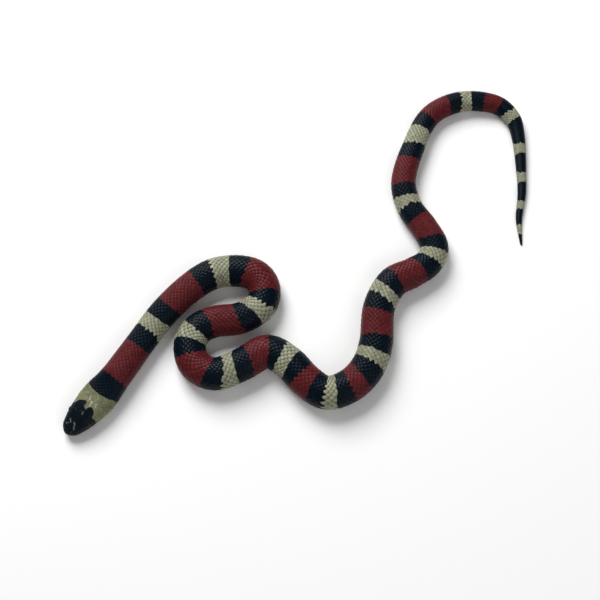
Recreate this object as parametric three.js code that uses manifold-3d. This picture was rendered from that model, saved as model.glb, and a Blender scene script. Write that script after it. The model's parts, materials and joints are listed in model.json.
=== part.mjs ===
// A milk snake at life size, lying still on the floor in a loose row of bends.
// Millimetres, +Z up, the floor at z = 0 and the origin under the middle of the animal's box.
// The animal is one skin surface, found from the distance along its back and an angle round it.
// Thin cuts across that skin part it into head, jaw, neck, lengths of the body and lengths of the tail.

import * as THREE from "three";
import { mergeVertices } from "three/addons/utils/BufferGeometryUtils.js";
import Module from "manifold-3d";

const wasm = await Module();
wasm.setup();

// Route of the back, seen from above, from the snout to the tail tip: x, y and half width.
const ROUTE = [
  [-123, -98.5, 8],
  [-102, -73.5, 8.1],
  [-87.5, -52, 7.7],
  [-75.5, -34.5, 7.8],
  [-62.5, -21, 8.1],
  [-50, -12.5, 8.4],
  [-37, -10.5, 8.6],
  [-26.5, -13, 8.6],
  [-21.5, -20.5, 8.6],
  [-23.5, -30, 8.5],
  [-34, -37, 8.5],
  [-47.5, -39, 8.5],
  [-56.5, -43.5, 8.5],
  [-60.5, -52.5, 8.6],
  [-57, -63, 8.7],
  [-46.5, -67.5, 8.7],
  [-33, -62.5, 8.8],
  [-20, -55.5, 8.9],
  [-8.5, -61.5, 9],
  [0.5, -71, 9],
  [11, -77.5, 8.9],
  [23, -74, 9],
  [32.5, -64.5, 9.1],
  [37.5, -51, 9],
  [39.5, -31.5, 8.6],
  [47, -17.5, 8.6],
  [58, -11.5, 8.2],
  [67, -5.5, 7.8],
  [70.5, 3.5, 7.7],
  [65.5, 15, 7.4],
  [58, 27, 7.1],
  [55, 43, 6.9],
  [61.5, 64.5, 6.5],
  [71.5, 83.5, 6.1],
  [88.5, 92.5, 5.9],
  [108, 91.5, 5.4],
  [118, 83, 4.7],
  [121, 71.5, 3.8],
  [121.5, 54, 3],
  [121, 37, 2.4],
  [118.5, 21.5, 1.8],
  [119, 6.5, 0.6],
];

// Body section: height over half width, where the flank is widest as a share of the height, and how
// square the back is (2 is an ellipse).
const BODY_HEIGHT = 1.66;
const WIDEST_SHARE = 0.44;
const BODY_SQUARENESS = 2.1;
// The belly's curve would reach this far past the floor, and is flat where the floor cuts it.
const BELLY_REACH = 1.2;
const BELLY_SQUARENESS = 2.4;

// Head: distance from the snout, half width, crown height, chin height, height of the widest line.
const HEAD = [
  [0, 3.65, 6.5, 0.9, 3.9],
  [1.2, 4.1, 6.8, 0.7, 3.9],
  [2.8, 4.65, 7.3, 0.35, 3.9],
  [5.6, 5.65, 8.1, 0, 4],
  [8.4, 6.65, 8.95, 0, 4.2],
  [11.2, 7.4, 9.75, 0, 4.3],
  [14, 7.95, 10.3, 0, 4.4],
  [17, 8.45, 10.75, 0, 4.5],
  [20, 9, 11, 0, 4.6],
  [23, 9.4, 11.1, 0, 4.7],
  [26, 9.45, 11.15, 0, 4.8],
  [29, 9.2, 11.3, 0, 5],
  [32, 8.8, 11.7, 0, 5.1],
  [36, 8.4, 12.3, 0, 5.4],
  [42, 7.95, 12.9, 0, 5.7],
];
// The snout closes over its first SNOUT_ROUND on a tip at SNOUT_HEIGHT.
const SNOUT_ROUND = 4.5;
const SNOUT_FIRST_RING = 0.02;
const SNOUT_HEIGHT = 3.9;
const HEAD_SQUARENESS = 2.45;
// The head's section blends into the body's between these distances.
const HEAD_TO_BODY = [30, 42];

// Cuts: every length ends half a cut short of its mark along the back.
const CUT = 0.3;
const NECK_START = 30;
const BODY_MARKS = [62, 110, 138, 168, 204, 240, 285, 325, 375, 420, 475, 532];
const TAIL_MARKS = [532, 562, 594];
const TAIL_TIP_ROUND = 1.2;

// Fineness of the solids.
const RING_STEP = 5;
const TAIL_RING_STEP = 4;
const HEAD_RING_STEP = 1.3;
const SNOUT_RINGS = 6;
const BODY_SIDES = { over: 12, under: 3 };
const HEAD_SIDES = { over: 24, under: 6 };
const ROUTE_DIVISIONS = 2400;
const WELD = 1e-4;
// Distance and angle over which the slope of the skin is taken.
const SLOPE_STEP = 0.05;

// Mouth line from the snout to its corner, then down behind the jaw: distance from the snout, z.
const MOUTH_LINE = [
  [-3, 3.1],
  [3, 3],
  [8, 3.1],
  [13, 3.45],
  [17, 4.1],
  [19, 4.4],
  [21, 3.7],
  [23.5, 1.6],
  [25.5, -1.5],
];
const MOUTH_WIDTH = 30;
const MOUTH_SEGMENTS = 36;
const LIP_SEGMENTS = 200;

// Head shields stand a little proud of the skin, with a fine groove between neighbours.
// A shield whose edge lies farther than large from its middle has a ring more, at heart of its size.
const SHIELD = {
  rise: 0.26,
  edge: 0.1,
  root: 0.6,
  groove: 0.08,
  step: 1.3,
  shoulder: 0.78,
  heart: 0.4,
  large: 2.2,
};

// The shield that crosses the midline: distance from the snout, distance to the right of the midline.
const FRONTAL = [
  [7.5, -2.2],
  [8.3, -2.4],
  [12.6, -1.7],
  [14.2, 0],
  [12.6, 1.7],
  [8.3, 2.4],
  [7.5, 2.2],
];
// Shields of the crown that come in pairs, in the same measures, for the right side.
const CROWN_PAIRS = {
  internasal: [[1.5, 0], [1.25, 1.5], [2.2, 3], [3.9, 3.4], [3.9, 0]],
  prefrontal: [[3.9, 0], [3.9, 3.4], [5, 4.4], [7, 4.6], [7.5, 2.3], [7.5, 0]],
  supraocular: [
    [7.6, 2.4],
    [7.1, 4.6],
    [8.9, 5.1],
    [10, 5.8],
    [12, 6.3],
    [13, 5.8],
    [12.7, 1.8],
    [8.3, 2.5],
  ],
  parietal: [[14.4, 0], [12.9, 1.8], [13.2, 5.9], [15, 6.9], [18, 6.9], [20.4, 5], [21.2, 2.6], [20.6, 0]],
};
// Shields of the flank that come in pairs: distance from the snout, height.
const FLANK_PAIRS = {
  nasal: [[1.3, 4.3], [1.35, 5.5], [2.6, 6.3], [4.5, 6.75], [5, 5], [3, 4.4]],
  loreal: [[5, 5], [4.5, 6.75], [7, 7.5], [7.3, 5.2]],
  preocular: [[7.3, 5.2], [7, 7.5], [8.8, 8.4], [9, 5]],
  upper_postocular: [[12.6, 7], [12.6, 8.3], [14.2, 8.6], [14.3, 7]],
  lower_postocular: [[12.6, 5.2], [12.6, 7], [14.3, 7], [14.5, 5.6]],
  front_temporal: [[14.5, 5.8], [14.4, 8.1], [17.7, 8.5], [18, 6]],
  upper_temporal: [[18, 7.4], [17.8, 8.6], [20.8, 9.7], [21.2, 7.8]],
  lower_temporal: [[18, 5.9], [18, 7.4], [21.2, 7.7], [21, 5.9]],
};
// Shields round the tip of the snout and of the chin: distance from the snout, degrees round it.
const ROSTRAL = [
  [0.1, 270],
  [0.3, 325],
  [0.5, 360],
  [0.7, 390],
  [1, 420],
  [1.35, 450],
  [1, 480],
  [0.7, 510],
  [0.5, 540],
  [0.3, 575],
];
const MENTAL = [
  [0.2, 270],
  [0.4, 312],
  [0.9, 320],
  [1.5, 296],
  [1.7, 270],
  [1.5, 244],
  [0.9, 220],
  [0.4, 228],
];
// Lips: where one labial shield ends and the next begins, and how high or low each mark reaches.
const UPPER_LABIALS = [
  [1, 4.2],
  [3.2, 4.35],
  [6.2, 5],
  [9.3, 4.9],
  [12.2, 4.9],
  [14.6, 5.5],
  [17.2, 5.8],
  [20.2, 5.8],
];
const LOWER_LABIALS = [
  [1.2, 1.8],
  [3.4, 1.5],
  [5.8, 1.4],
  [8.2, 1.4],
  [10.6, 1.5],
  [13, 1.6],
  [15.4, 1.8],
  [17.6, 2],
  [19.4, 2.4],
];

// Eye: a ball sunk in its socket, its middle set by distance from the snout and height.
const EYE = { along: 10.8, height: 6.6, radius: 2.3, sunk: 1.75 };
const NOSTRIL = { along: 2.9, height: 5.5, radius: 0.42, depth: 1.1 };
const EYE_SIDES = 20;
const NOSTRIL_SIDES = 12;

const COLOURS = { black: 0x14191f, cream: 0xa8a88c, red: 0x8e2f2d, eye: 0x0a0b0d };
const ROUGHNESS = { head: 0.35, body: 0.4, eye: 0.1 };

const route = new THREE.CatmullRomCurve3(
  ROUTE.map(([x, y, half]) => new THREE.Vector3(x, y, half)),
  false,
  "catmullrom",
  0.5,
);
route.arcLengthDivisions = ROUTE_DIVISIONS;
const LENGTH = route.getLength();

// A smooth value between the rows of a table, whose first column is the distance.
function between(rows, column, along) {
  const last = rows.length - 1;
  const row = Math.max(0, rows.findLastIndex((entry) => entry[0] <= along));
  if (row >= last) return rows[last][column];
  const slope = (index) => {
    const before = rows[Math.max(0, index - 1)];
    const after = rows[Math.min(last, index + 1)];
    return (after[column] - before[column]) / (after[0] - before[0]);
  };
  const span = rows[row + 1][0] - rows[row][0];
  const t = THREE.MathUtils.clamp((along - rows[row][0]) / span, 0, 1);
  const rise = rows[row + 1][column] - rows[row][column];
  const start = slope(row) * span;
  const end = slope(row + 1) * span;
  const bend = 3 * rise - 2 * start - end;
  return rows[row][column] + start * t + bend * t * t + (start + end - 2 * rise) * t * t * t;
}

// Section of the skin at a distance from the snout: its sizes and how square its back is.
function section(along) {
  const half = route.getPointAt(THREE.MathUtils.clamp(along / LENGTH, 0, 1)).z;
  const body = [half, BODY_HEIGHT * half, 0, WIDEST_SHARE * BODY_HEIGHT * half, BODY_SQUARENESS];
  const head = [1, 2, 3, 4].map((column) => between(HEAD, column, along));
  const share = THREE.MathUtils.smoothstep(along, ...HEAD_TO_BODY);
  const mixed = [...head, HEAD_SQUARENESS].map((value, i) => THREE.MathUtils.lerp(value, body[i], share));
  const back = Math.max(0, 1 - along / SNOUT_ROUND);
  const round = Math.sqrt(1 - back * back);
  const towardsSnout = (value) => Math.max(0, THREE.MathUtils.lerp(SNOUT_HEIGHT, value, round));
  return {
    half: mixed[0] * round,
    top: towardsSnout(mixed[1]),
    low: towardsSnout(mixed[2]),
    widest: towardsSnout(mixed[3]),
    square: mixed[4],
  };
}

// A point of the skin: angle 0 is the animal's right flank, 90 degrees its back, 180 its left flank.
function skin(along, angle) {
  const size = section(along);
  const at = THREE.MathUtils.clamp(along / LENGTH, 0, 1);
  const centre = route.getPointAt(at);
  const tailward = route.getTangentAt(at).setZ(0).normalize();
  const right = new THREE.Vector3(-tailward.y, tailward.x, 0);
  const rising = Math.sin(angle);
  const square = rising >= 0 ? size.square : BELLY_SQUARENESS;
  const spread = Math.sign(Math.cos(angle)) * Math.abs(Math.cos(angle)) ** (2 / square);
  const lift = Math.abs(rising) ** (2 / square);
  const under = size.widest - (size.widest - size.low) * BELLY_REACH * lift;
  const z = rising >= 0 ? size.widest + (size.top - size.widest) * lift : Math.max(size.low, under);
  return right.multiplyScalar(spread * size.half).add(centre.setZ(z));
}

// Angles round a section: over the back, down each flank to the belly's edge, and its flat.
function angles(sides) {
  const edge = Math.asin((1 / BELLY_REACH) ** (BELLY_SQUARENESS / 2));
  const over = Array.from({ length: sides.over + 1 }, (_, i) => (Math.PI * i) / sides.over);
  const under = Array.from({ length: sides.under }, (_, i) => (edge * (i + 1)) / sides.under);
  const left = under.map((angle) => Math.PI + angle);
  const right = under.toReversed().map((angle) => 2 * Math.PI - angle);
  return [...over, ...left, 1.5 * Math.PI, ...right];
}

// A closed skin through rings of points, each end closed on one point: its own middle, or the
// given crest over the last ring.
function loft(rings, crest) {
  const count = rings[0].length;
  const middle = (ring) => ring.reduce((sum, p) => sum.add(p), new THREE.Vector3()).divideScalar(count);
  const points = [...rings.flat(), middle(rings[0]), crest ?? middle(rings[rings.length - 1])];
  const last = points.length - 1;
  const first = last - 1;
  const end = (rings.length - 1) * count;
  const faces = [];
  for (let j = 0; j < count; j++) {
    const next = (j + 1) % count;
    faces.push(first, next, j, last, end + j, end + next);
    for (let i = 0; i < end; i += count) {
      faces.push(i + j, i + next, i + count + next, i + j, i + count + next, i + count + j);
    }
  }
  return shape(points, faces);
}

// A geometry from points and the corners of its triangles.
function shape(points, faces) {
  const geometry = new THREE.BufferGeometry().setFromPoints(points);
  geometry.setIndex(faces);
  return geometry;
}

// A length of the animal between two distances along its back.
function lengthOf(from, to, step, sides) {
  const count = Math.max(2, Math.ceil((to - from) / step));
  const rings = [];
  for (let i = 0; i <= count; i++) {
    const along = THREE.MathUtils.lerp(from, to, i / count);
    rings.push(angles(sides).map((angle) => skin(along, angle)));
  }
  return loft(rings);
}

// The whole head with its jaw: rings close together round the snout, then at even steps.
function headForm() {
  const stations = [];
  for (let i = 1; i <= SNOUT_RINGS; i++) {
    stations.push(SNOUT_ROUND * (1 - Math.cos((0.5 * Math.PI * i) / SNOUT_RINGS)));
  }
  const end = NECK_START - CUT / 2;
  const count = Math.ceil((end - SNOUT_ROUND) / HEAD_RING_STEP);
  for (let i = 1; i <= count; i++) {
    stations.push(THREE.MathUtils.lerp(SNOUT_ROUND, end, i / count));
  }
  stations.unshift(SNOUT_FIRST_RING);
  return loft(stations.map((along) => angles(HEAD_SIDES).map((angle) => skin(along, angle))));
}

// Joining and cutting: closed geometry to a solid and back.
function solid(geometry) {
  const bare = new THREE.BufferGeometry().setAttribute("position", geometry.getAttribute("position"));
  if (geometry.index) bare.setIndex(geometry.index);
  const merged = mergeVertices(bare, WELD);
  const vertProperties = new Float32Array(merged.attributes.position.array);
  const triVerts = new Uint32Array(merged.index.array);
  return new wasm.Manifold(new wasm.Mesh({ numProp: 3, vertProperties, triVerts }));
}

function geometryOf(made) {
  const mesh = made.getMesh();
  const geometry = new THREE.BufferGeometry();
  geometry.setAttribute("position", new THREE.BufferAttribute(mesh.vertProperties, 3));
  geometry.setIndex(new THREE.BufferAttribute(mesh.triVerts, 1));
  return geometry;
}

// The head's own axes at the snout, which its bend leaves straight.
function headAxes() {
  const origin = route.getPointAt(0).setZ(0);
  const tailward = route.getTangentAt(0).setZ(0).normalize();
  const right = new THREE.Vector3(-tailward.y, tailward.x, 0);
  return new THREE.Matrix4().makeBasis(tailward, right, new THREE.Vector3(0, 0, 1)).setPosition(origin);
}

// The mouth: a thin curved sheet that parts the jaw from the head.
function mouthCut() {
  const line = new THREE.SplineCurve(MOUTH_LINE.map(([along, z]) => new THREE.Vector2(along, z)));
  const points = line.getPoints(MOUTH_SEGMENTS);
  const upper = points.map((p) => new THREE.Vector2(p.x, p.y + CUT / 2));
  const lower = points.map((p) => new THREE.Vector2(p.x - CUT / 2, p.y - CUT / 2)).reverse();
  const outline = new THREE.Shape([...upper, ...lower]);
  const sheet = new THREE.ExtrudeGeometry(outline, { depth: MOUTH_WIDTH, bevelEnabled: false });
  sheet.translate(0, 0, -MOUTH_WIDTH / 2).rotateX(Math.PI / 2);
  return solid(sheet.applyMatrix4(headAxes()));
}

// An angle of the right side, where side is 1, or its mirror image on the left, where it is -1.
function onSide(angle, side) {
  return side > 0 ? angle : Math.PI - angle;
}

// Angle on the right flank at a height, over or under the widest line.
function flankAngle(along, height) {
  const { top, low, widest, square } = section(along);
  if (height >= widest) {
    return Math.asin(Math.min(1, (height - widest) / (top - widest)) ** (square / 2));
  }
  const share = (widest - height) / ((widest - low) * BELLY_REACH);
  return -Math.asin(Math.min(1, share) ** (BELLY_SQUARENESS / 2));
}

// Angle on the crown at a distance to the right of the midline.
function crownAngle(along, across) {
  const { half, square } = section(along);
  const angle = Math.acos(Math.min(1, Math.abs(across) / half) ** (square / 2));
  return onSide(angle, Math.sign(across) || 1);
}

// Outward direction of the skin, which at the very tip of the snout is straight ahead.
function outward(along, angle) {
  if (along < SLOPE_STEP) return route.getTangentAt(0).setZ(0).normalize().negate();
  const back = skin(along + SLOPE_STEP, angle).sub(skin(along - SLOPE_STEP, angle));
  const round = skin(along, angle + SLOPE_STEP).sub(skin(along, angle - SLOPE_STEP));
  return round.cross(back).normalize();
}

// A shield: a low dome over its corners, given as distance from the snout and angle, with its root
// sunk in the head. It closes on its middle, or on the snout's tip where it goes all round that.
function shield(corners, aroundTip = false) {
  const mean = (column) => corners.reduce((sum, corner) => sum + corner[column], 0) / corners.length;
  const middle = [mean(0), mean(1)];
  const edgePoint = (index, t) => {
    const [a, b] = [corners[index], corners[(index + 1) % corners.length]];
    const turn = aroundTip && index === corners.length - 1 ? 2 * Math.PI : 0;
    return [THREE.MathUtils.lerp(a[0], b[0], t), THREE.MathUtils.lerp(a[1], b[1] + turn, t)];
  };
  const outline = corners.flatMap((corner, index) => {
    const [from, to] = [edgePoint(index, 0), edgePoint(index, 1)];
    const parts = Math.max(1, Math.round(skin(...from).distanceTo(skin(...to)) / SHIELD.step));
    return Array.from({ length: parts }, (_, part) => edgePoint(index, part / parts));
  });
  const place = ([along, angle], share, lift) => {
    const centre = aroundTip ? [0, angle] : middle;
    const nearer = (from, to) => THREE.MathUtils.lerp(from, to, share);
    const at = [nearer(centre[0], along), nearer(centre[1], angle)];
    return skin(...at).addScaledVector(outward(...at), lift);
  };
  const heart = skin(...middle);
  const reach = outline.reduce((sum, at) => sum + skin(...at).distanceTo(heart), 0) / outline.length;
  const size = 1 - SHIELD.groove / reach;
  const rings = [
    [size, -SHIELD.root],
    [size, SHIELD.edge],
    [size * SHIELD.shoulder, SHIELD.rise],
    ...(aroundTip || reach > SHIELD.large ? [[size * SHIELD.heart, SHIELD.rise]] : []),
  ].map(([share, lift]) => outline.map((at) => place(at, share, lift)));
  const crest = place(outline[0], 0, SHIELD.rise);
  const made = solid(loft(rings, crest));
  return made.volume() > 0 ? made : solid(loft(rings.map((ring) => ring.toReversed()), crest));
}

// Labials between each pair of marks, from the mouth line to the height given at the marks.
function labials(marks, side) {
  const mouth = new THREE.SplineCurve(MOUTH_LINE.map(([along, z]) => new THREE.Vector2(along, z)));
  const line = mouth.getPoints(LIP_SEGMENTS);
  const lip = (along) => line.reduce((a, b) => (Math.abs(b.x - along) < Math.abs(a.x - along) ? b : a)).y;
  return marks.slice(1).map(([end, endHeight], i) => {
    const [start, startHeight] = marks[i];
    const corners = [[start, lip(start)], [end, lip(end)], [end, endHeight], [start, startHeight]];
    return shield(corners.map(([along, z]) => [along, onSide(flankAngle(along, z), side)]));
  });
}

// Every raised shield of the head and the jaw.
function headShields() {
  const degrees = ([along, angle]) => [along, THREE.MathUtils.degToRad(angle)];
  const crown = (corners, side) =>
    shield(corners.map(([along, across]) => [along, onSide(crownAngle(along, across), side)]));
  const flank = (corners, side) =>
    shield(corners.map(([along, z]) => [along, onSide(flankAngle(along, z), side)]));
  const paired = [1, -1].flatMap((side) => [
    ...Object.values(CROWN_PAIRS).map((corners) => crown(corners, side)),
    ...Object.values(FLANK_PAIRS).map((corners) => flank(corners, side)),
    ...labials(UPPER_LABIALS, side),
    ...labials(LOWER_LABIALS, side),
  ]);
  return [shield(ROSTRAL.map(degrees), true), shield(MENTAL.map(degrees)), crown(FRONTAL, 1), ...paired];
}

function eyeCentre(side) {
  const angle = onSide(flankAngle(EYE.along, EYE.height), side);
  const sunk = outward(EYE.along, angle).multiplyScalar(-EYE.sunk);
  return skin(EYE.along, angle).add(sunk);
}

function eyeBall(side, radius) {
  const ball = new THREE.SphereGeometry(radius, EYE_SIDES, EYE_SIDES / 2);
  return ball.translate(...eyeCentre(side).toArray());
}

// A nostril: a short round pit that enters the snout square to the skin.
function nostrilPit(side) {
  const angle = onSide(flankAngle(NOSTRIL.along, NOSTRIL.height), side);
  const out = outward(NOSTRIL.along, angle);
  const pit = new THREE.CylinderGeometry(NOSTRIL.radius, NOSTRIL.radius, 2 * NOSTRIL.depth, NOSTRIL_SIDES);
  pit.applyQuaternion(new THREE.Quaternion().setFromUnitVectors(new THREE.Vector3(0, 1, 0), out));
  return solid(pit.translate(...skin(NOSTRIL.along, angle).toArray()));
}

// Head and jaw, largest first, after the mouth, the sockets and the nostrils are cut.
function headAndJaw() {
  let form = headShields().reduce((joined, piece) => joined.add(piece), solid(headForm()));
  form = form.subtract(mouthCut());
  for (const side of [1, -1]) {
    form = form.subtract(solid(eyeBall(side, EYE.radius + CUT)));
    form = form.subtract(nostrilPit(side));
  }
  return form.decompose().sort((a, b) => b.volume() - a.volume());
}

const group = new THREE.Group();

function addNode(name, geometry, color, roughness) {
  const mesh = new THREE.Mesh(geometry, new THREE.MeshStandardMaterial({ color, roughness, metalness: 0 }));
  mesh.name = name;
  group.add(mesh);
}

const [head, jaw] = headAndJaw();
addNode("head", geometryOf(head), COLOURS.black, ROUGHNESS.head);
addNode("jaw", geometryOf(jaw), COLOURS.black, ROUGHNESS.head);
addNode("eye_right", eyeBall(1, EYE.radius), COLOURS.eye, ROUGHNESS.eye);
addNode("eye_left", eyeBall(-1, EYE.radius), COLOURS.eye, ROUGHNESS.eye);

const half = CUT / 2;
const neck = lengthOf(NECK_START + half, BODY_MARKS[0] - half, RING_STEP, BODY_SIDES);
addNode("neck", neck, COLOURS.cream, ROUGHNESS.body);
BODY_MARKS.slice(0, -1).forEach((from, i) => {
  const geometry = lengthOf(from + half, BODY_MARKS[i + 1] - half, RING_STEP, BODY_SIDES);
  addNode(`body_${String(i + 1).padStart(2, "0")}`, geometry, COLOURS.red, ROUGHNESS.body);
});
TAIL_MARKS.forEach((from, i) => {
  const to = i + 1 < TAIL_MARKS.length ? TAIL_MARKS[i + 1] - half : LENGTH - TAIL_TIP_ROUND;
  const geometry = lengthOf(from + half, to, TAIL_RING_STEP, BODY_SIDES);
  addNode(`tail_${i + 1}`, geometry, COLOURS.black, ROUGHNESS.body);
});

export default group;
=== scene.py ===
"""Looks of a life-size milk snake: its skin, head shields, scales, belly plates, eyes and tail tip.

Sizes are in millimetres, and MM turns them to metres where a mesh is made. A place on the animal is
given by its distance from the snout along the back and by the way round the body from the mid-back
line, which is positive on the animal's right side and negative on its left.
"""

import json
import logging
import math
from dataclasses import dataclass
from enum import Enum, IntEnum
from functools import partial
from typing import ClassVar

import bmesh
import bpy
import numpy as np
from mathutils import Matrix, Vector

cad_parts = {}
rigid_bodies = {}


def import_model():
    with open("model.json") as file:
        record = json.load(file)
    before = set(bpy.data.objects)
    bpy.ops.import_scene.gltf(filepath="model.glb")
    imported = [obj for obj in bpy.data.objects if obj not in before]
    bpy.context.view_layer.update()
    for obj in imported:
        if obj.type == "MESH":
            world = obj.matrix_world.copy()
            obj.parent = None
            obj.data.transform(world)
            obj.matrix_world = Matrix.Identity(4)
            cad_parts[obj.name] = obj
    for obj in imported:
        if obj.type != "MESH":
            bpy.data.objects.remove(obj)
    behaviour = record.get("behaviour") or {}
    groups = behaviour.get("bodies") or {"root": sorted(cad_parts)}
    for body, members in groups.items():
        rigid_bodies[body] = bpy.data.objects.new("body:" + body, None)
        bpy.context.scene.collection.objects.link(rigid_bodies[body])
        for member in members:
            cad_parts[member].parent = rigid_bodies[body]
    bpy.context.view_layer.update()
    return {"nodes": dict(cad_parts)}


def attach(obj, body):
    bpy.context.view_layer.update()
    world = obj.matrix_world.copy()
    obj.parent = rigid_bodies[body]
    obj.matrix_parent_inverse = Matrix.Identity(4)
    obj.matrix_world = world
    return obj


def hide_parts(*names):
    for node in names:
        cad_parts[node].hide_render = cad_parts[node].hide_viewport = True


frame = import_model()

MM = 0.001
# Keeps a division clear of zero.
TINY = 1e-9
LOG = logging.getLogger("milk_snake")

# Route of the back, seen from above, from the snout to the tail tip: x, y and half width.
ROUTE = (
    (-123, -98.5, 8), (-102, -73.5, 8.1), (-87.5, -52, 7.7), (-75.5, -34.5, 7.8),
    (-62.5, -21, 8.1), (-50, -12.5, 8.4), (-37, -10.5, 8.6), (-26.5, -13, 8.6),
    (-21.5, -20.5, 8.6), (-23.5, -30, 8.5), (-34, -37, 8.5), (-47.5, -39, 8.5),
    (-56.5, -43.5, 8.5), (-60.5, -52.5, 8.6), (-57, -63, 8.7), (-46.5, -67.5, 8.7),
    (-33, -62.5, 8.8), (-20, -55.5, 8.9), (-8.5, -61.5, 9), (0.5, -71, 9), (11, -77.5, 8.9),
    (23, -74, 9), (32.5, -64.5, 9.1), (37.5, -51, 9), (39.5, -31.5, 8.6), (47, -17.5, 8.6),
    (58, -11.5, 8.2), (67, -5.5, 7.8), (70.5, 3.5, 7.7), (65.5, 15, 7.4), (58, 27, 7.1),
    (55, 43, 6.9), (61.5, 64.5, 6.5), (71.5, 83.5, 6.1), (88.5, 92.5, 5.9), (108, 91.5, 5.4),
    (118, 83, 4.7), (121, 71.5, 3.8), (121.5, 54, 3), (121, 37, 2.4), (118.5, 21.5, 1.8),
    (119, 6.5, 0.6),
)

# Head: distance from the snout, half width, crown height, chin height, height of the widest line.
HEAD = (
    (0, 3.65, 6.5, 0.9, 3.9), (1.2, 4.1, 6.8, 0.7, 3.9), (2.8, 4.65, 7.3, 0.35, 3.9),
    (5.6, 5.65, 8.1, 0, 4), (8.4, 6.65, 8.95, 0, 4.2), (11.2, 7.4, 9.75, 0, 4.3),
    (14, 7.95, 10.3, 0, 4.4), (17, 8.45, 10.75, 0, 4.5), (20, 9, 11, 0, 4.6),
    (23, 9.4, 11.1, 0, 4.7), (26, 9.45, 11.15, 0, 4.8), (29, 9.2, 11.3, 0, 5),
    (32, 8.8, 11.7, 0, 5.1), (36, 8.4, 12.3, 0, 5.4), (42, 7.95, 12.9, 0, 5.7),
)


def linear(colour: str) -> tuple[float, float, float, float]:
    """Turns a screen colour to the renderer's linear light.

    Args:
        colour: six hex digits of sRGB.

    Returns:
        Red, green, blue and an alpha of 1.
    """
    shares = [int(colour[i : i + 2], 16) / 255 for i in (0, 2, 4)]
    light = [c / 12.92 if c <= 0.04045 else ((c + 0.055) / 1.055) ** 2.4 for c in shares]
    return (*light, 1.0)


def smooth_rise(value: np.ndarray, start: float, end: float) -> np.ndarray:
    """A smooth rise from 0 at start to 1 at end."""
    t = np.clip((value - start) / (end - start), 0, 1)
    return t * t * (3 - 2 * t)


def between_pairs(pairs: tuple[tuple[float, float], ...], value: np.ndarray) -> np.ndarray:
    """Straight values between pairs of a place and its value."""
    return np.interp(value, *np.array(pairs, float).T)


def between_rows(rows: np.ndarray, along: np.ndarray) -> np.ndarray:
    """Smooth values between the rows of a table whose first column says where each row lies.

    Args:
        rows: the table, in rising order of its first column.
        along: the places at which values are wanted.

    Returns:
        The table's other columns at each place.
    """
    x, values = rows[:, 0], rows[:, 1:]
    index = np.arange(len(x))
    before, after = np.maximum(index - 1, 0), np.minimum(index + 1, len(x) - 1)
    slope = (values[after] - values[before]) / (x[after] - x[before])[:, None]
    row = np.clip(np.searchsorted(x, along, side="right") - 1, 0, len(x) - 2)
    span = (x[row + 1] - x[row])[:, None]
    t = np.clip((along - x[row])[:, None] / span, 0, 1)
    rise = values[row + 1] - values[row]
    start, end = slope[row] * span, slope[row + 1] * span
    return values[row] + t * (start + t * (3 * rise - 2 * start - end + t * (start + end - 2 * rise)))


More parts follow.
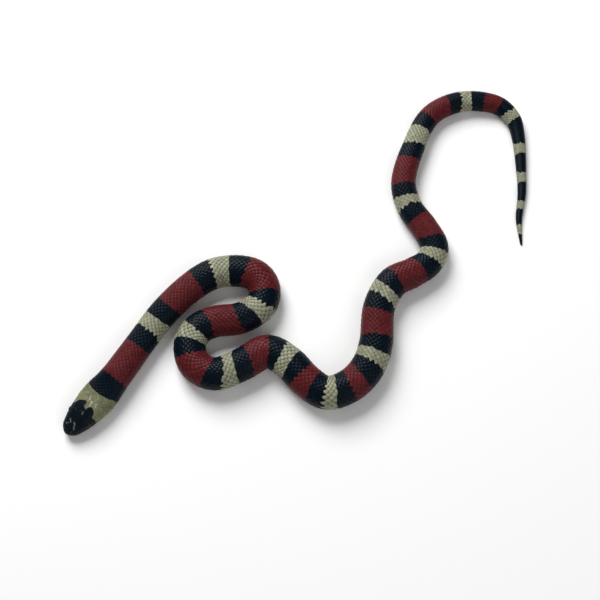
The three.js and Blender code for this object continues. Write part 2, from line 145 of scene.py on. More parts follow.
@dataclass
class Body:
    """The animal's outer surface, as a function of the distance from the snout and an angle.

    Angle 0 is the right flank, 90 degrees the back, 180 the left flank and 270 the belly.
    """

    # Height against half the width, and how high the widest line lies against the height.
    height: float = 1.66
    widest_share: float = 0.44
    # Powers of the rounded sections: 2 gives an ellipse, and more a squarer shape.
    squareness: float = 2.1
    belly_squareness: float = 2.4
    head_squareness: float = 2.45
    # How far down the lower half would bulge, against its height, if the floor didn't flatten it.
    belly_reach: float = 1.2
    # Radius of the round that closes the snout, and the height that it closes at.
    snout_round: float = 4.5
    snout_height: float = 3.9
    # Where the sections of the head pass into those of the body.
    head_to_body: tuple[float, float] = (30, 42)
    # Where the belly plates meet the scales of the flank.
    scute_edge: float = math.radians(-42)
    # Distance between the tabulated sections, and how closely slopes and tables are read.
    station_step: float = 0.25
    slope_step: float = 0.05
    route_samples: int = 2401
    turn_samples: int = 241
    share_samples: int = 201
    # On the inner side of the tightest bends the surface stops short of folding over itself.
    least_stretch: float = 0.15

    def __post_init__(self) -> None:
        """Measures the route, then tabulates the sections and the distances round them."""
        last = len(ROUTE) - 1
        route = np.column_stack([np.arange(len(ROUTE)), ROUTE])
        marks = np.linspace(0, last, self.route_samples)
        drawn = between_rows(route, marks)
        lengths = np.r_[0, np.cumsum(np.linalg.norm(np.diff(drawn, axis=0), axis=1))]
        self.length = float(lengths[-1])
        self.stations = np.arange(0, self.length + self.station_step, self.station_step)
        at = np.interp(np.minimum(self.stations, self.length), lengths, marks)
        nudge = 1e-4 * last
        ahead = between_rows(route, np.minimum(at + nudge, last))
        behind = between_rows(route, np.maximum(at - nudge, 0))
        way = (ahead - behind)[:, :2]
        way /= np.linalg.norm(way, axis=1)[:, None]
        line = between_rows(route, at)
        half, flat = line[:, 2], np.zeros(len(line))
        top = self.height * half
        widest = self.widest_share * self.height * half
        body = np.column_stack([half, top, flat, widest, self.squareness + flat])
        head = between_rows(np.array(HEAD, float), self.stations)
        head = np.column_stack([head, self.head_squareness + flat])
        share = smooth_rise(self.stations, *self.head_to_body)[:, None]
        bending = np.gradient(np.unwrap(np.arctan2(way[:, 1], way[:, 0])), self.station_step)
        self.table = np.column_stack([line[:, :2], way, head + (body - head) * share, bending])
        self.measure_girth()

    def measure_girth(self) -> None:
        """Tabulates the way round the body from the mid-back to the belly's middle."""
        self.turns = np.linspace(math.pi / 2, -math.pi / 2, self.turn_samples)
        off_the_tip = 1e-3
        along = np.repeat(np.maximum(self.stations, off_the_tip), len(self.turns))
        ring = self.points(along, np.tile(self.turns, len(self.stations)))
        ring = ring.reshape(len(self.stations), len(self.turns), 3)
        steps = np.linalg.norm(np.diff(ring, axis=1), axis=2)
        ways = np.column_stack([np.zeros(len(ring)), np.cumsum(steps, axis=1)])
        self.half_girth = ways[:, -1]
        shares = np.linspace(0, 1, self.share_samples)
        self.turn_at = np.array([np.interp(shares * way[-1], way, self.turns) for way in ways])
        edge = np.interp(-self.scute_edge, -self.turns, np.arange(len(self.turns)))
        self.scute_way = self.sampled(ways, np.arange(len(ring)), np.full(len(ring), edge))

    @staticmethod
    def sampled(table: np.ndarray, row: np.ndarray, column: np.ndarray) -> np.ndarray:
        """Values of a table between its whole rows and columns.

        Args:
            table: the values.
            row: how many rows down each wanted value lies.
            column: how many columns across it lies.

        Returns:
            One value for each pair.
        """
        just_short = 1.001
        row = np.clip(row, 0, table.shape[0] - just_short)
        column = np.clip(column, 0, table.shape[1] - just_short)
        i, j = row.astype(int), column.astype(int)
        u, v = row - i, column - j
        near = table[i, j] * (1 - v) + table[i, j + 1] * v
        far = table[i + 1, j] * (1 - v) + table[i + 1, j + 1] * v
        return near * (1 - u) + far * u

    def girth(self, along: np.ndarray) -> np.ndarray:
        """The way round from the mid-back to the belly's midline."""
        return np.interp(along, self.stations, self.half_girth)

    def flank(self, along: np.ndarray) -> np.ndarray:
        """The way round from the mid-back to the edge of the belly plates."""
        return np.interp(along, self.stations, self.scute_way)

    def points(self, along: np.ndarray, angle: np.ndarray) -> np.ndarray:
        """Points of the surface.

        Args:
            along: distances from the snout.
            angle: angles round the body.

        Returns:
            One row of x, y and z for each pair.
        """
        columns = [np.interp(along, self.stations, column) for column in self.table.T]
        x, y, way_x, way_y, half, top, low, widest, square, bending = columns
        back = np.maximum(0, 1 - along / self.snout_round)
        closed = np.sqrt(np.maximum(0, 1 - back * back))
        top, low, widest = (
            np.maximum(0, self.snout_height + (value - self.snout_height) * closed)
            for value in (top, low, widest)
        )
        rising, leaning = np.sin(angle), np.cos(angle)
        over = rising >= 0
        square = np.where(over, square, self.belly_squareness)
        spread = np.sign(leaning) * np.abs(leaning) ** (2 / square) * half * closed
        room = (1 - self.least_stretch) / np.maximum(np.abs(bending), TINY)
        spread = np.where(spread * bending > 0, np.clip(spread, -room, room), spread)
        lift = np.abs(rising) ** (2 / square)
        under = np.maximum(low, widest - (widest - low) * self.belly_reach * lift)
        z = np.where(over, widest + (top - widest) * lift, under)
        return np.column_stack([x - way_y * spread, y + way_x * spread, z])

    def outward(self, along: np.ndarray, angle: np.ndarray) -> np.ndarray:
        """Unit vectors square to the surface, straight ahead at the very tip of the snout.

        Args:
            along: distances from the snout.
            angle: angles round the body.

        Returns:
            One vector for each pair.
        """
        step = self.slope_step
        safe = np.maximum(along, step)
        back = self.points(safe + step, angle) - self.points(safe - step, angle)
        round_ = self.points(safe, angle + step) - self.points(safe, angle - step)
        normal = np.cross(round_, back)
        ahead = -np.column_stack([*self.table[0, 2:4], 0.0])
        normal = np.where((along < step)[:, None], ahead, normal)
        return normal / np.maximum(np.linalg.norm(normal, axis=1), TINY)[:, None]

    def angle_of(self, along: np.ndarray, way: np.ndarray) -> np.ndarray:
        """The angle at a way round the body, which may pass under the belly to the other side.

        Args:
            along: distances from the snout.
            way: ways round the body from the mid-back.

        Returns:
            One angle for each pair.
        """
        whole = self.girth(along)
        way = np.where(np.abs(way) > whole, way - 2 * whole * np.sign(way), way)
        share = np.abs(way) / np.maximum(whole, TINY) * (self.turn_at.shape[1] - 1)
        right = self.sampled(self.turn_at, along / self.station_step, share)
        return np.where(way < 0, math.pi - right, right)

    def raised(self, along: np.ndarray, angle: np.ndarray, lift: np.ndarray) -> np.ndarray:
        """Points over the surface, none of them under the floor.

        Args:
            along: distances from the snout.
            angle: angles round the body.
            lift: heights over the surface.

        Returns:
            One row of x, y and z for each.
        """
        placed = self.points(along, angle) + self.outward(along, angle) * lift[:, None]
        placed[:, 2] = np.maximum(placed[:, 2], 0)
        return placed

    def place(self, along: np.ndarray, way: np.ndarray, lift: np.ndarray) -> np.ndarray:
        """Points over the surface, by the way round, none of them past the snout or the tail tip."""
        along = np.clip(along, 0, self.length)
        return self.raised(along, self.angle_of(along, way), lift)

    def stretch(self, along: np.ndarray, way: np.ndarray) -> np.ndarray:
        """How long a step along the body is at each place, against the same step on its axis.

        Args:
            along: distances from the snout.
            way: ways round the body from the mid-back.

        Returns:
            About 1 on a straight length, less on the inner side of a bend and more on the outer.
        """
        half_step, flush = 0.5, np.zeros(len(along))
        after, before = (self.place(along + shift, way, flush) for shift in (half_step, -half_step))
        return np.linalg.norm(after - before, axis=1)


class Side(IntEnum):
    """A side of the animal, as the sign of the ways round the body on it."""

    RIGHT = 1
    LEFT = -1


class Colour(Enum):
    """The colours that the animal wears, as sRGB hex values of its living scales; the black's blue tint
    and the nape's glints are painted light.
    """

    # Black with a blue tint, which is a painted bluish sheen.
    BLACK = "04101a"
    RED = "5a1f22"
    CREAM = "95967f"
    NAPE = "757759"
    # Pale flecks of the snout, and painted highlights: the glints on the nape.
    FLECK = "c8c8bc"
    CREAM_TIP = "4f4d3c"
    RED_TIP = "3a1114"


class Worn(IntEnum):
    """Rows of PALETTE and TIPS: which colour a place on the animal wears."""

    BLACK = 0
    RED = 1
    CREAM = 2
    NAPE = 3


PALETTE = np.array([linear(Colour[worn.name].value) for worn in Worn])
TIPS = np.array(
    [linear(tip.value) for tip in (Colour.BLACK, Colour.RED_TIP, Colour.CREAM_TIP, Colour.CREAM_TIP)]
)


@dataclass
class Markings:
    """Where each ring of colour lies, as distances from the snout along the mid-back."""

    body: Body
    # Start of the black, start of the red, end of the red and start of the cream, each where it
    # crosses the left side, the mid-back and the right side.
    rings: tuple[tuple[tuple[float, float, float], ...], ...] = (
        ((26.9, 25.5, 26.1), (36.5, 36.2, 36.8), (56.9, 57.3, 57.5), (66.6, 67.2, 67.4)),
        ((75.1, 74.5, 75.0), (84.8, 83.9, 84.5), (103.7, 104.0, 104.0), (114.1, 114.2, 114.2)),
        ((123.2, 123.4, 123.6), (131.2, 132.8, 133.5), (151.5, 149.5, 149.3), (157.9, 156.8, 156.1)),
        ((166.1, 163.5, 161.9), (172.8, 171.5, 170.2), (187.6, 186.4, 185.9), (195.0, 195.0, 195.1)),
        ((201.1, 201.1, 201.8), (208.8, 209.4, 209.7), (221.7, 222.7, 224.5), (229.2, 231.1, 232.9)),
        ((236.0, 237.1, 238.4), (244.2, 246.1, 246.8), (258.2, 257.5, 256.9), (265.4, 264.7, 263.7)),
        ((272.6, 270.8, 270.1), (279.1, 278.9, 277.8), (287.9, 286.9, 286.1), (294.5, 294.5, 294.9)),
        ((299.0, 300.0, 301.5), (306.9, 307.1, 308.1), (314.5, 315.2, 316.9), (323.1, 323.6, 324.4)),
        ((329.7, 330.1, 330.6), (338.3, 338.7, 338.3), (351.4, 352.1, 353.1), (358.2, 360.1, 361.0)),
        ((364.7, 365.6, 366.8), (373.1, 373.8, 373.3), (388.8, 388.3, 386.5), (396.2, 395.7, 394.4)),
        ((401.5, 401.5, 402.0), (407.9, 409.5, 411.6), (422.6, 423.3, 423.8), (430.4, 431.3, 431.1)),
        ((436.4, 437.0, 437.5), (444.9, 444.7, 444.4), (461.8, 460.8, 459.9), (471.2, 470.5, 468.4)),
        ((480.6, 480.8, 480.5), (489.1, 489.4, 489.7), (503.3, 504.4, 504.7), (511.3, 512.0, 511.6)),
        ((518.0, 517.8, 518.0), (525.7, 525.6, 525.6), (535.1, 535.4, 535.3), (541.0, 541.8, 541.4)),
        ((548.5, 547.5, 546.2), (555.4, 555.0, 554.2), (555.4, 555.0, 554.2), (562.3, 562.5, 562.3)),
        ((568.7, 568.2, 567.9), (574.2, 574.0, 573.8), (574.2, 574.0, 573.8), (579.8, 579.8, 579.8)),
        ((586.7, 585.4, 584.2), (591.6, 591.0, 590.5), (591.6, 591.0, 590.5), (596.5, 596.7, 596.8)),
        ((601.9, 601.7, 601.5), (606.5, 606.2, 606.0), (606.5, 606.2, 606.0), (611.1, 610.8, 610.5)),
        ((616, 616, 616), (640, 640, 640), (640, 640, 640), (640, 640, 640)),
    )
    # Way round at which the borders of the sides were read, and beyond which they stop bending.
    read_way: float = 7
    last_way: float = 9
    # Rear edge of the black cap: way round from the mid-back, distance.
    cap: tuple[tuple[float, float], ...] = (
        (-30, 5), (-17, 8), (-14.5, 13.8), (-8, 14.7), (-6.4, 14.3), (-5.6, 16.6), (-4.4, 17.7),
        (-3, 18.3), (-1.6, 18.2), (-1.1, 16.2), (-0.3, 15.9), (0.5, 16.2), (0.9, 18.3),
        (1.7, 19.1), (2.6, 18.8), (4, 18), (5.4, 17.2), (6.1, 15.4), (7, 14.5), (14.5, 13.8),
        (17, 8), (30, 5),
    )
    # Pale flecks of the snout and, from 18 mm back on the nape, painted glints: distance and way round of
    # both ends, radius, strength.
    flecks: tuple[tuple[float, ...], ...] = (
        (4.0, -2.9, 5.2, -1.8, 0.22, 0.34), (4.9, -2.9, 4.7, -2.2, 0.2, 0.22),
        (5.8, -2.0, 6.9, -0.7, 0.22, 0.42), (6.3, -0.7, 6.9, -1.4, 0.2, 0.24),
        (6.0, 0.9, 7.0, 2.3, 0.23, 0.38), (4.1, 2.7, 5.1, 1.6, 0.2, 0.28),
        (1.7, -2.1, 2.7, -2.5, 0.2, 0.16), (12.6, -1.1, 13.8, -0.8, 0.22, 0.36),
        (15.8, -0.8, 16.3, 0.3, 0.27, 0.34), (16.2, 0.2, 16.9, 1.0, 0.25, 0.3),
        (18.0, -1.5, 18.9, -1.0, 0.34, 0.55), (20.0, -0.9, 20.4, -0.7, 0.4, 1.0),
        (19.4, -4.1, 21.0, -3.1, 0.28, 0.62), (20.2, 0.6, 22.4, 2.0, 0.28, 0.62),
        (21.5, -2.0, 22.5, -1.2, 0.26, 0.4), (23.0, -2.0, 23.6, -1.6, 0.34, 0.32),
    )
    # Behind this distance no scale has either a fleck or a painted glint.
    fleck_end: float = 27
    # How much wider the cream rings grow under the belly on each edge, and how late.
    cream_spread: float = 1.3
    cream_power: float = 1.5

    def edges(self, column: int, way: np.ndarray) -> np.ndarray:
        """Where one edge of every ring lies.

        Args:
            column: which edge of the rings.
            way: ways round the body.

        Returns:
            One row for each way, with a distance for every ring.
        """
        left, back, right = np.array(self.rings, float)[:, column].T
        turn = np.clip(way, -self.last_way, self.last_way)[:, None] / self.read_way
        return back + turn * (right - left) / 2 + turn**2 * ((right + left) / 2 - back)

    def past_cap(self, along: np.ndarray, way: np.ndarray) -> np.ndarray:
        """Distance of each place behind the black cap's edge, below 0 inside the cap."""
        return along - between_pairs(self.cap, way)

    def borders(self, along: np.ndarray, way: np.ndarray) -> tuple[np.ndarray, np.ndarray, np.ndarray]:
        """The border between two colours that lies nearest to each place.

        Args:
            along: distances from the snout.
            way: ways round the body.

        Returns:
            The row of PALETTE on the head's side of the border, the row on the tail's side, and how
            far each place lies behind the border.
        """
        under = (1 - np.sin(self.body.angle_of(along, way))) / 2
        widening = self.cream_spread * under[:, None] ** self.cream_power
        growth = (1, 0, 0, -1)
        lines = [self.edges(column, way) + sign * widening for column, sign in enumerate(growth)]
        without_red = np.ptp(np.array(self.rings)[:, 1:3], axis=1)[:, 0] == 0
        for line in lines[1:3]:
            line[:, without_red] = np.inf
        places = np.column_stack([along - self.past_cap(along, way), *lines])
        counts = (1, *([len(self.rings)] * len(lines)))
        head_side = np.repeat((Worn.BLACK, Worn.CREAM, Worn.BLACK, Worn.RED, Worn.BLACK), counts)
        head_side[1] = Worn.NAPE
        tail_side = np.repeat((Worn.NAPE, Worn.BLACK, Worn.RED, Worn.BLACK, Worn.CREAM), counts)
        nearest = np.abs(along[:, None] - places).argmin(1)
        behind = along - places[np.arange(len(along)), nearest]
        return head_side[nearest], tail_side[nearest], behind

    def rows(self, along: np.ndarray, way: np.ndarray) -> np.ndarray:
        """The row of PALETTE that each place wears."""
        before, after, behind = self.borders(along, way)
        return np.where(behind < 0, before, after)

    def paleness(self, along: np.ndarray, way: np.ndarray) -> np.ndarray:
        """How strongly the pale flecks of the snout and the painted glints of the nape show at each
        place.

        Args:
            along: distances from the snout.
            way: ways round the body.

        Returns:
            From 0 for none to 1.
        """
        shown = np.zeros(along.shape)
        here = np.stack([along, way], axis=-1)
        for *ends, radius, strength in self.flecks:
            start, end = np.array(ends[:2]), np.array(ends[2:])
            passed = ((here - start) @ (end - start)) / ((end - start) @ (end - start))
            nearest = start + np.clip(passed, 0, 1)[..., None] * (end - start)
            off = np.linalg.norm(here - nearest, axis=-1) / radius
            shown = np.maximum(shown, strength * np.exp(-(off**2)))
        return shown


def link_object(name: str, data: bpy.types.ID) -> bpy.types.Object:
    """Makes an object of a mesh, a light or a camera, at the origin, and links it to the scene.

    Args:
        name: the object's name.
        data: what it shows.

    Returns:
        The object.
    """
    made = bpy.data.objects.new(name, data)
    bpy.context.scene.collection.objects.link(made)
    return made


def finished(name: str, drawn: bmesh.types.BMesh) -> bpy.types.Object:
    """Makes one smooth mesh object of a drawn mesh.

    Args:
        name: the piece's name.
        drawn: the mesh, in metres, which it frees.

    Returns:
        The object, at the origin, linked to the scene.
    """
    mesh = bpy.data.meshes.new(name)
    drawn.to_mesh(mesh)
    drawn.free()
    mesh.polygons.foreach_set("use_smooth", np.ones(len(mesh.polygons), bool))
    return link_object(name, mesh)


def wear(drawn: bmesh.types.BMesh, colours: np.ndarray) -> None:
    """Gives every vertex its colour, the same on both sides of a border.

    Args:
        drawn: the mesh, which it changes.
        colours: one row of red, green, blue and alpha for each vertex.
    """
    layers = [drawn.verts.layers.float_color.new(kept) for kept in ("markings", "next_markings")]
    for vertex, colour in zip(drawn.verts, colours):
        for layer in layers:
            vertex[layer] = colour


@dataclass
class Shape:
    """A small closed shape, as arrays that many copies are made from."""

    # A level between the underside's and the next one up.
    low_level: ClassVar[float] = -0.25
    # Its vertices, and which of them lie on its underside.
    places: np.ndarray
    low: np.ndarray
    # The vertex of each face corner, where each face starts, and which corners are the underside's.
    loops: np.ndarray
    starts: np.ndarray
    under: np.ndarray

    @classmethod
    def read(cls, drawn: bmesh.types.BMesh) -> "Shape":
        """Reads a drawn shape whose underside lies under the low level.

        Args:
            drawn: the shape, which it frees.

        Returns:
            Its arrays.
        """
        drawn.verts.ensure_lookup_table()
        places = np.array([vertex.co for vertex in drawn.verts])
        low = places[:, 2] < cls.low_level
        faces = [[vertex.index for vertex in face.verts] for face in drawn.faces]
        drawn.free()
        sizes = np.array([len(face) for face in faces])
        under = np.repeat([bool(low[face].all()) for face in faces], sizes)
        return cls(places, low, np.concatenate(faces), np.r_[0, np.cumsum(sizes)[:-1]], under)

    def copied(
        self, name: str, points: np.ndarray, paint: dict[str, np.ndarray], patches: np.ndarray
    ) -> bpy.types.Object:
        """Makes one smooth mesh object of many copies of the shape.

        Args:
            name: the piece's name.
            points: the vertices of all the copies, in millimetres.
            paint: values for each vertex by the name of the attribute that keeps them.
            patches: the place on the bake map of each corner of each face.

        Returns:
            The object, at the origin, linked to the scene.
        """
        turn = np.arange(len(points) // len(self.places))[:, None]
        loops = (self.loops + turn * len(self.places)).ravel()
        starts = (self.starts + turn * len(self.loops)).ravel()
        mesh = bpy.data.meshes.new(name)
        mesh.vertices.add(len(points))
        mesh.vertices.foreach_set("co", (points * MM).astype(np.float32).ravel())
        mesh.loops.add(len(loops))
        mesh.loops.foreach_set("vertex_index", loops.astype(np.int32))
        mesh.polygons.add(len(starts))
        mesh.polygons.foreach_set("loop_start", starts.astype(np.int32))
        mesh.polygons.foreach_set("use_smooth", np.ones(len(starts), bool))
        mesh.update(calc_edges=True)
        for kept, values in paint.items():
            kind, field = ("FLOAT_COLOR", "color") if values.ndim == 2 else ("FLOAT", "value")
            layer = mesh.attributes.new(kept, kind, "POINT")
            layer.data.foreach_set(field, values.astype(np.float32).ravel())
        bake = mesh.uv_layers.new(name="OFBake")
        bake.uv.foreach_set("vector", patches.astype(np.float32).ravel())
        return link_object(name, mesh)


@dataclass
class Stencil:
    """A closed round plate, as rings round its middle, whose copies are bent to shape.

    Corner 0 points towards the tail and the corners run to the animal's right. Level 0 is the root,
    level 1 the rim over it, and the last level the middle.
    """

    sides: int
    levels: int

    def __post_init__(self) -> None:
        """Draws a short drum and insets its top ring by ring, each ring 1 higher than the last."""
        plate = bmesh.new()
        bmesh.ops.create_cone(
            plate, cap_ends=True, cap_tris=False, segments=self.sides, radius1=1, radius2=1, depth=1
        )
        top = [face for face in plate.faces if face.normal.z > 0.5]
        breadth = 0.5 / self.levels
        for _ in range(self.levels - 2):
            bmesh.ops.inset_individual(plate, faces=top, thickness=breadth, depth=1)
        bmesh.ops.poke(plate, faces=top)
        self.shape = Shape.read(plate)
        x, y, z = self.shape.places.T
        near_axis = 1e-4
        middle = np.hypot(x, y) < near_axis
        turn = np.arctan2(y, x) / (2 * math.pi) * self.sides
        self.corner = np.mod(np.round(turn - turn[0]), self.sides).astype(int)
        self.level = np.where(middle, self.levels, np.round(z + 0.5)).astype(int)


@dataclass(frozen=True)
class BakeMap:
    """Where the plates of one joined piece lie on its bake map, which is the body unrolled.

    Each plate has a patch about 0.003 across at its root's place, and its underside a smaller one
    beside it.
    """

    half_patch: float = 0.0015
    under_share: float = 0.35
    under_shift: tuple[float, float] = (0.0024, 0.0)
    margin: float = 0.01

    def spread(
        self, shape: Shape, patch: np.ndarray, root: np.ndarray, across: np.ndarray, narrowing: float
    ) -> np.ndarray:
        """Lays a patch at each root.

        Args:
            shape: the plate.
            patch: the place of each of its vertices on the map, counted from the patch's middle.
            root: each plate's distance from the snout.
            across: each plate's place across the unrolled body, from 0 to 1.
            narrowing: how much narrower the underside's patch is than the top's.

        Returns:
            The place of every face corner on the map, plate after plate.
        """
        spots = np.column_stack([(root - root.min()) / np.ptp(root), across])
        middles = self.margin + (1 - 2 * self.margin) * spots
        corners = patch[shape.loops]
        hidden = corners * (self.under_share, narrowing) + self.under_shift
        corners = np.where(shape.under[:, None], hidden, corners)
        return (middles[:, None] + corners[None]).reshape(-1, 2)


@dataclass
class Skin:
    """One closed skin under all the scales, from the snout to the tail tip."""

    body: Body
    markings: Markings
    scales: "Scales"
    # Rings on the round of the snout, and the angle of the first one, counted from the tip.
    snout_rings: int = 14
    first_turn: float = 0.06
    # Where the head's closer rings end, the steps between rings, and the gap to the tail's tip.
    head_end: float = 32
    head_step: float = 0.3
    body_step: float = 1.5
    tail_gap: float = 0.7
    sides: int = 144
    # Points of the seam nearer than this become one.
    weld: float = 1e-3
    # How deep the skin lies under the head shields and under full-size scales, and where the one
    # passes into the other: along the back, along the throat and round to the throat.
    head_depth: float = 0.07
    body_depth: float = 0.42
    head_to_body: tuple[float, float] = (18, 22)
    chin_to_throat: tuple[float, float] = (10.5, 13)
    lip_to_throat: tuple[float, float] = (14.8, 16)
    pit_depth: float = 0.9
    pit_radius: float = 0.7
    # Half size of the skin's sheet on the bake map, whose side margins hold its two closed ends, and
    # how much of a margin an end takes.
    map_half: float = 0.48
    end_share: float = 0.8

    def depth(self, along: np.ndarray, way: np.ndarray) -> np.ndarray:
        """How far the skin lies under the tops of the scales.

        Args:
            along: distances from the snout.
            way: ways round the body.

        Returns:
            A depth for each place, deepest in the nostrils.
        """
        under_scales = self.body_depth * self.scales.step(along) / self.scales.full_step
        share = smooth_rise(along, *self.head_to_body)
        throat = smooth_rise(along, *self.chin_to_throat) * smooth_rise(np.abs(way), *self.lip_to_throat)
        share = np.maximum(share, throat)
        nostril = HeadShields.nostril
        off = np.hypot(along - nostril[0], np.abs(way) - nostril[1]) / self.pit_radius
        pit = self.pit_depth * np.exp(-(off**4))
        return self.head_depth + (under_scales - self.head_depth) * share + pit

    def stations(self) -> np.ndarray:
        """Where the skin's rings lie, close together round the snout and on the head.

        Returns:
            Rising distances from the snout.
        """
        turn = np.linspace(self.first_turn, math.pi / 2, self.snout_rings)
        snout = self.body.snout_round * (1 - np.cos(turn))
        head = np.arange(snout[-1] + self.head_step, self.head_end, self.head_step)
        end = self.body.length - self.tail_gap
        rest = np.linspace(self.head_end, end, round((end - self.head_end) / self.body_step))
        return np.r_[snout, head, rest]

    def close_ends(self, sheet: bmesh.types.BMesh, bake: bmesh.types.BMLayerItem) -> None:
        """Welds the seam under the belly and closes the skin at the snout and the tail.

        Args:
            sheet: the skin, which it changes.
            bake: the skin's bake map.
        """
        bmesh.ops.remove_doubles(sheet, verts=sheet.verts, dist=self.weld * MM)
        rims = [edge for edge in sheet.edges if edge.is_boundary]
        ends = bmesh.ops.holes_fill(sheet, edges=rims, sides=0)["faces"]
        poked = bmesh.ops.poke(sheet, faces=ends)
        for vertex in poked["verts"]:
            for layer in sheet.verts.layers.float_color.values():
                vertex[layer] = PALETTE[Worn.BLACK]
        middle = (1 - self.map_half * 2) / 4
        for face in poked["faces"]:
            side = middle if face.calc_center_median().x < 0 else 1 - middle
            for corner in face.loops:
                turn = corner.vert.index % self.sides / self.sides * 2 * math.pi
                reach = 0 if corner.vert in poked["verts"] else self.end_share * middle
                corner[bake].uv = (side + reach * math.cos(turn), 0.5 + reach * math.sin(turn))
        bmesh.ops.recalc_face_normals(sheet, faces=sheet.faces)

    def build(self) -> bpy.types.Object:
        """Wraps a grid round the body and closes it.

        Returns:
            The skin as one mesh object.
        """
        stations = self.stations()
        sheet = bmesh.new()
        bmesh.ops.create_grid(sheet, x_segments=len(stations) - 1, y_segments=self.sides, size=1)
        flat = np.array([vertex.co for vertex in sheet.verts])
        ring = np.round((flat[:, 0] + 1) / 2 * (len(stations) - 1)).astype(int)
        along = stations[ring]
        way = flat[:, 1] * self.body.girth(along)
        placed = self.body.place(along, way, -self.depth(along, way)) * MM
        wear(sheet, PALETTE[self.markings.rows(along, way)])
        bake = sheet.loops.layers.uv.new("OFBake")
        spots = 0.5 + self.map_half * np.column_stack([2 * ring / ring.max() - 1, flat[:, 1]])
        for face in sheet.faces:
            for corner in face.loops:
                corner[bake].uv = spots[corner.vert.index]
        for vertex, place in zip(sheet.verts, placed):
            vertex.co = place
        self.close_ends(sheet, bake)
        return finished("skin", sheet)


# Outlines of the shields on the right side: distance from the snout, way round from the mid-back.
# Every one has a twin on the left.
SHIELDS = {
    "internasal": ((1.45, 0), (1.25, 1.9), (2.3, 3.1), (3.9, 3.5), (3.9, 0)),
    "prefrontal": ((3.9, 0), (3.9, 3.5), (4.6, 4.3), (7.05, 4.75), (7.5, 2.3), (7.5, 0)),
    "supraocular": (
        (7.5, 2.3), (7.05, 4.75), (8.9, 5.35), (10, 6), (12, 6.6), (13.05, 6.1), (12.65, 1.75),
        (8.3, 2.45),
    ),
    "parietal": (
        (14.3, 0), (12.65, 1.75), (13.05, 6.1), (14.3, 7.1), (15, 7.45), (17.9, 7.35), (19.4, 6.1),
        (20.4, 5.1), (21.2, 2.6), (20.7, 0),
    ),
    "nasal": ((1.25, 1.9), (2.3, 3.1), (3.9, 3.5), (4.6, 4.3), (5, 6.6), (3.2, 6.05), (1.15, 3.35)),
    "loreal": ((4.6, 4.3), (7.05, 4.75), (7.3, 7.85), (5, 6.65)),
    "preocular": ((7.05, 4.75), (8.9, 5.35), (9.8, 6.2), (9, 8), (9.6, 9.2), (7.3, 7.85)),
    "upper_postocular": ((12, 6.6), (13.05, 6.1), (14.3, 7.1), (14.4, 8.75), (12.6, 8.1)),
    "lower_postocular": ((12.6, 8.1), (14.4, 8.75), (14.6, 10.4), (12.2, 10.25), (11.9, 9.8)),
    "front_temporal": ((14.3, 7.1), (15, 7.45), (17.9, 7.35), (18, 10.85), (14.6, 10.4), (14.4, 8.75)),
    "upper_temporal": ((17.9, 7.35), (19.4, 6.1), (20.4, 5.1), (21.4, 6.8), (21.5, 9.4), (18, 9.2)),
    "lower_temporal": ((18, 9.2), (21.5, 9.4), (21.3, 11.75), (20.2, 11.5), (18, 10.85)),
}
FRONTAL = ((7.5, -2.3), (8.3, -2.45), (12.65, -1.75), (14.3, 0), (12.65, 1.75), (8.3, 2.45), (7.5, 2.3))
# Borders between labials: distance from the snout, way round to the mouth and to the far side.
UPPER_LIP = (
    (1, 4.36, 3.35), (3.2, 7.32, 6.05), (6.2, 9.18, 7.3), (9.3, 10.72, 9.1), (12.2, 11.7, 10.25),
    (14.6, 12.12, 10.4), (17.2, 12.33, 10.75), (20.2, 13.12, 11.5),
)
LOWER_LIP = (
    (1.2, 4.9, 6.3), (3.4, 7.7, 11.1), (5.8, 9.2, 13.5), (8.2, 10.47, 15), (10.6, 11.47, 15.5),
    (13, 12.12, 15.4), (15.4, 12.45, 15.4), (17.6, 12.6, 15.3), (19.4, 12.9, 15.4),
)
# Chin shields of the right side: distance from the snout, way round from the belly's midline.
CHIN_SHIELDS = (
    ((1.95, 0), (1.9, 1.5), (3.4, 2.55), (5.8, 2.95), (7.6, 2.4), (7.4, 0)),
    ((7.4, 0), (7.6, 2.4), (8.2, 3.45), (10.6, 4.6), (12.6, 3.6), (13.2, 1.5), (12.6, 0)),
)
# Shields round the tip of the snout and of the chin: distance from the snout, degrees round from
# the right side over the top.
ROSTRAL = (
    (0.1, 270), (0.3, 325), (0.95, 343), (1.05, 10), (1.2, 48), (1.4, 90), (1.2, 132), (1.05, 170),
    (0.95, 197), (0.3, 215),
)
MENTAL = (
    (0.24, 270), (0.45, 322), (1.12, 337), (1.17, 312), (1.75, 296), (1.9, 270), (1.75, 244),
    (1.17, 228), (1.12, 203), (0.45, 218),
)


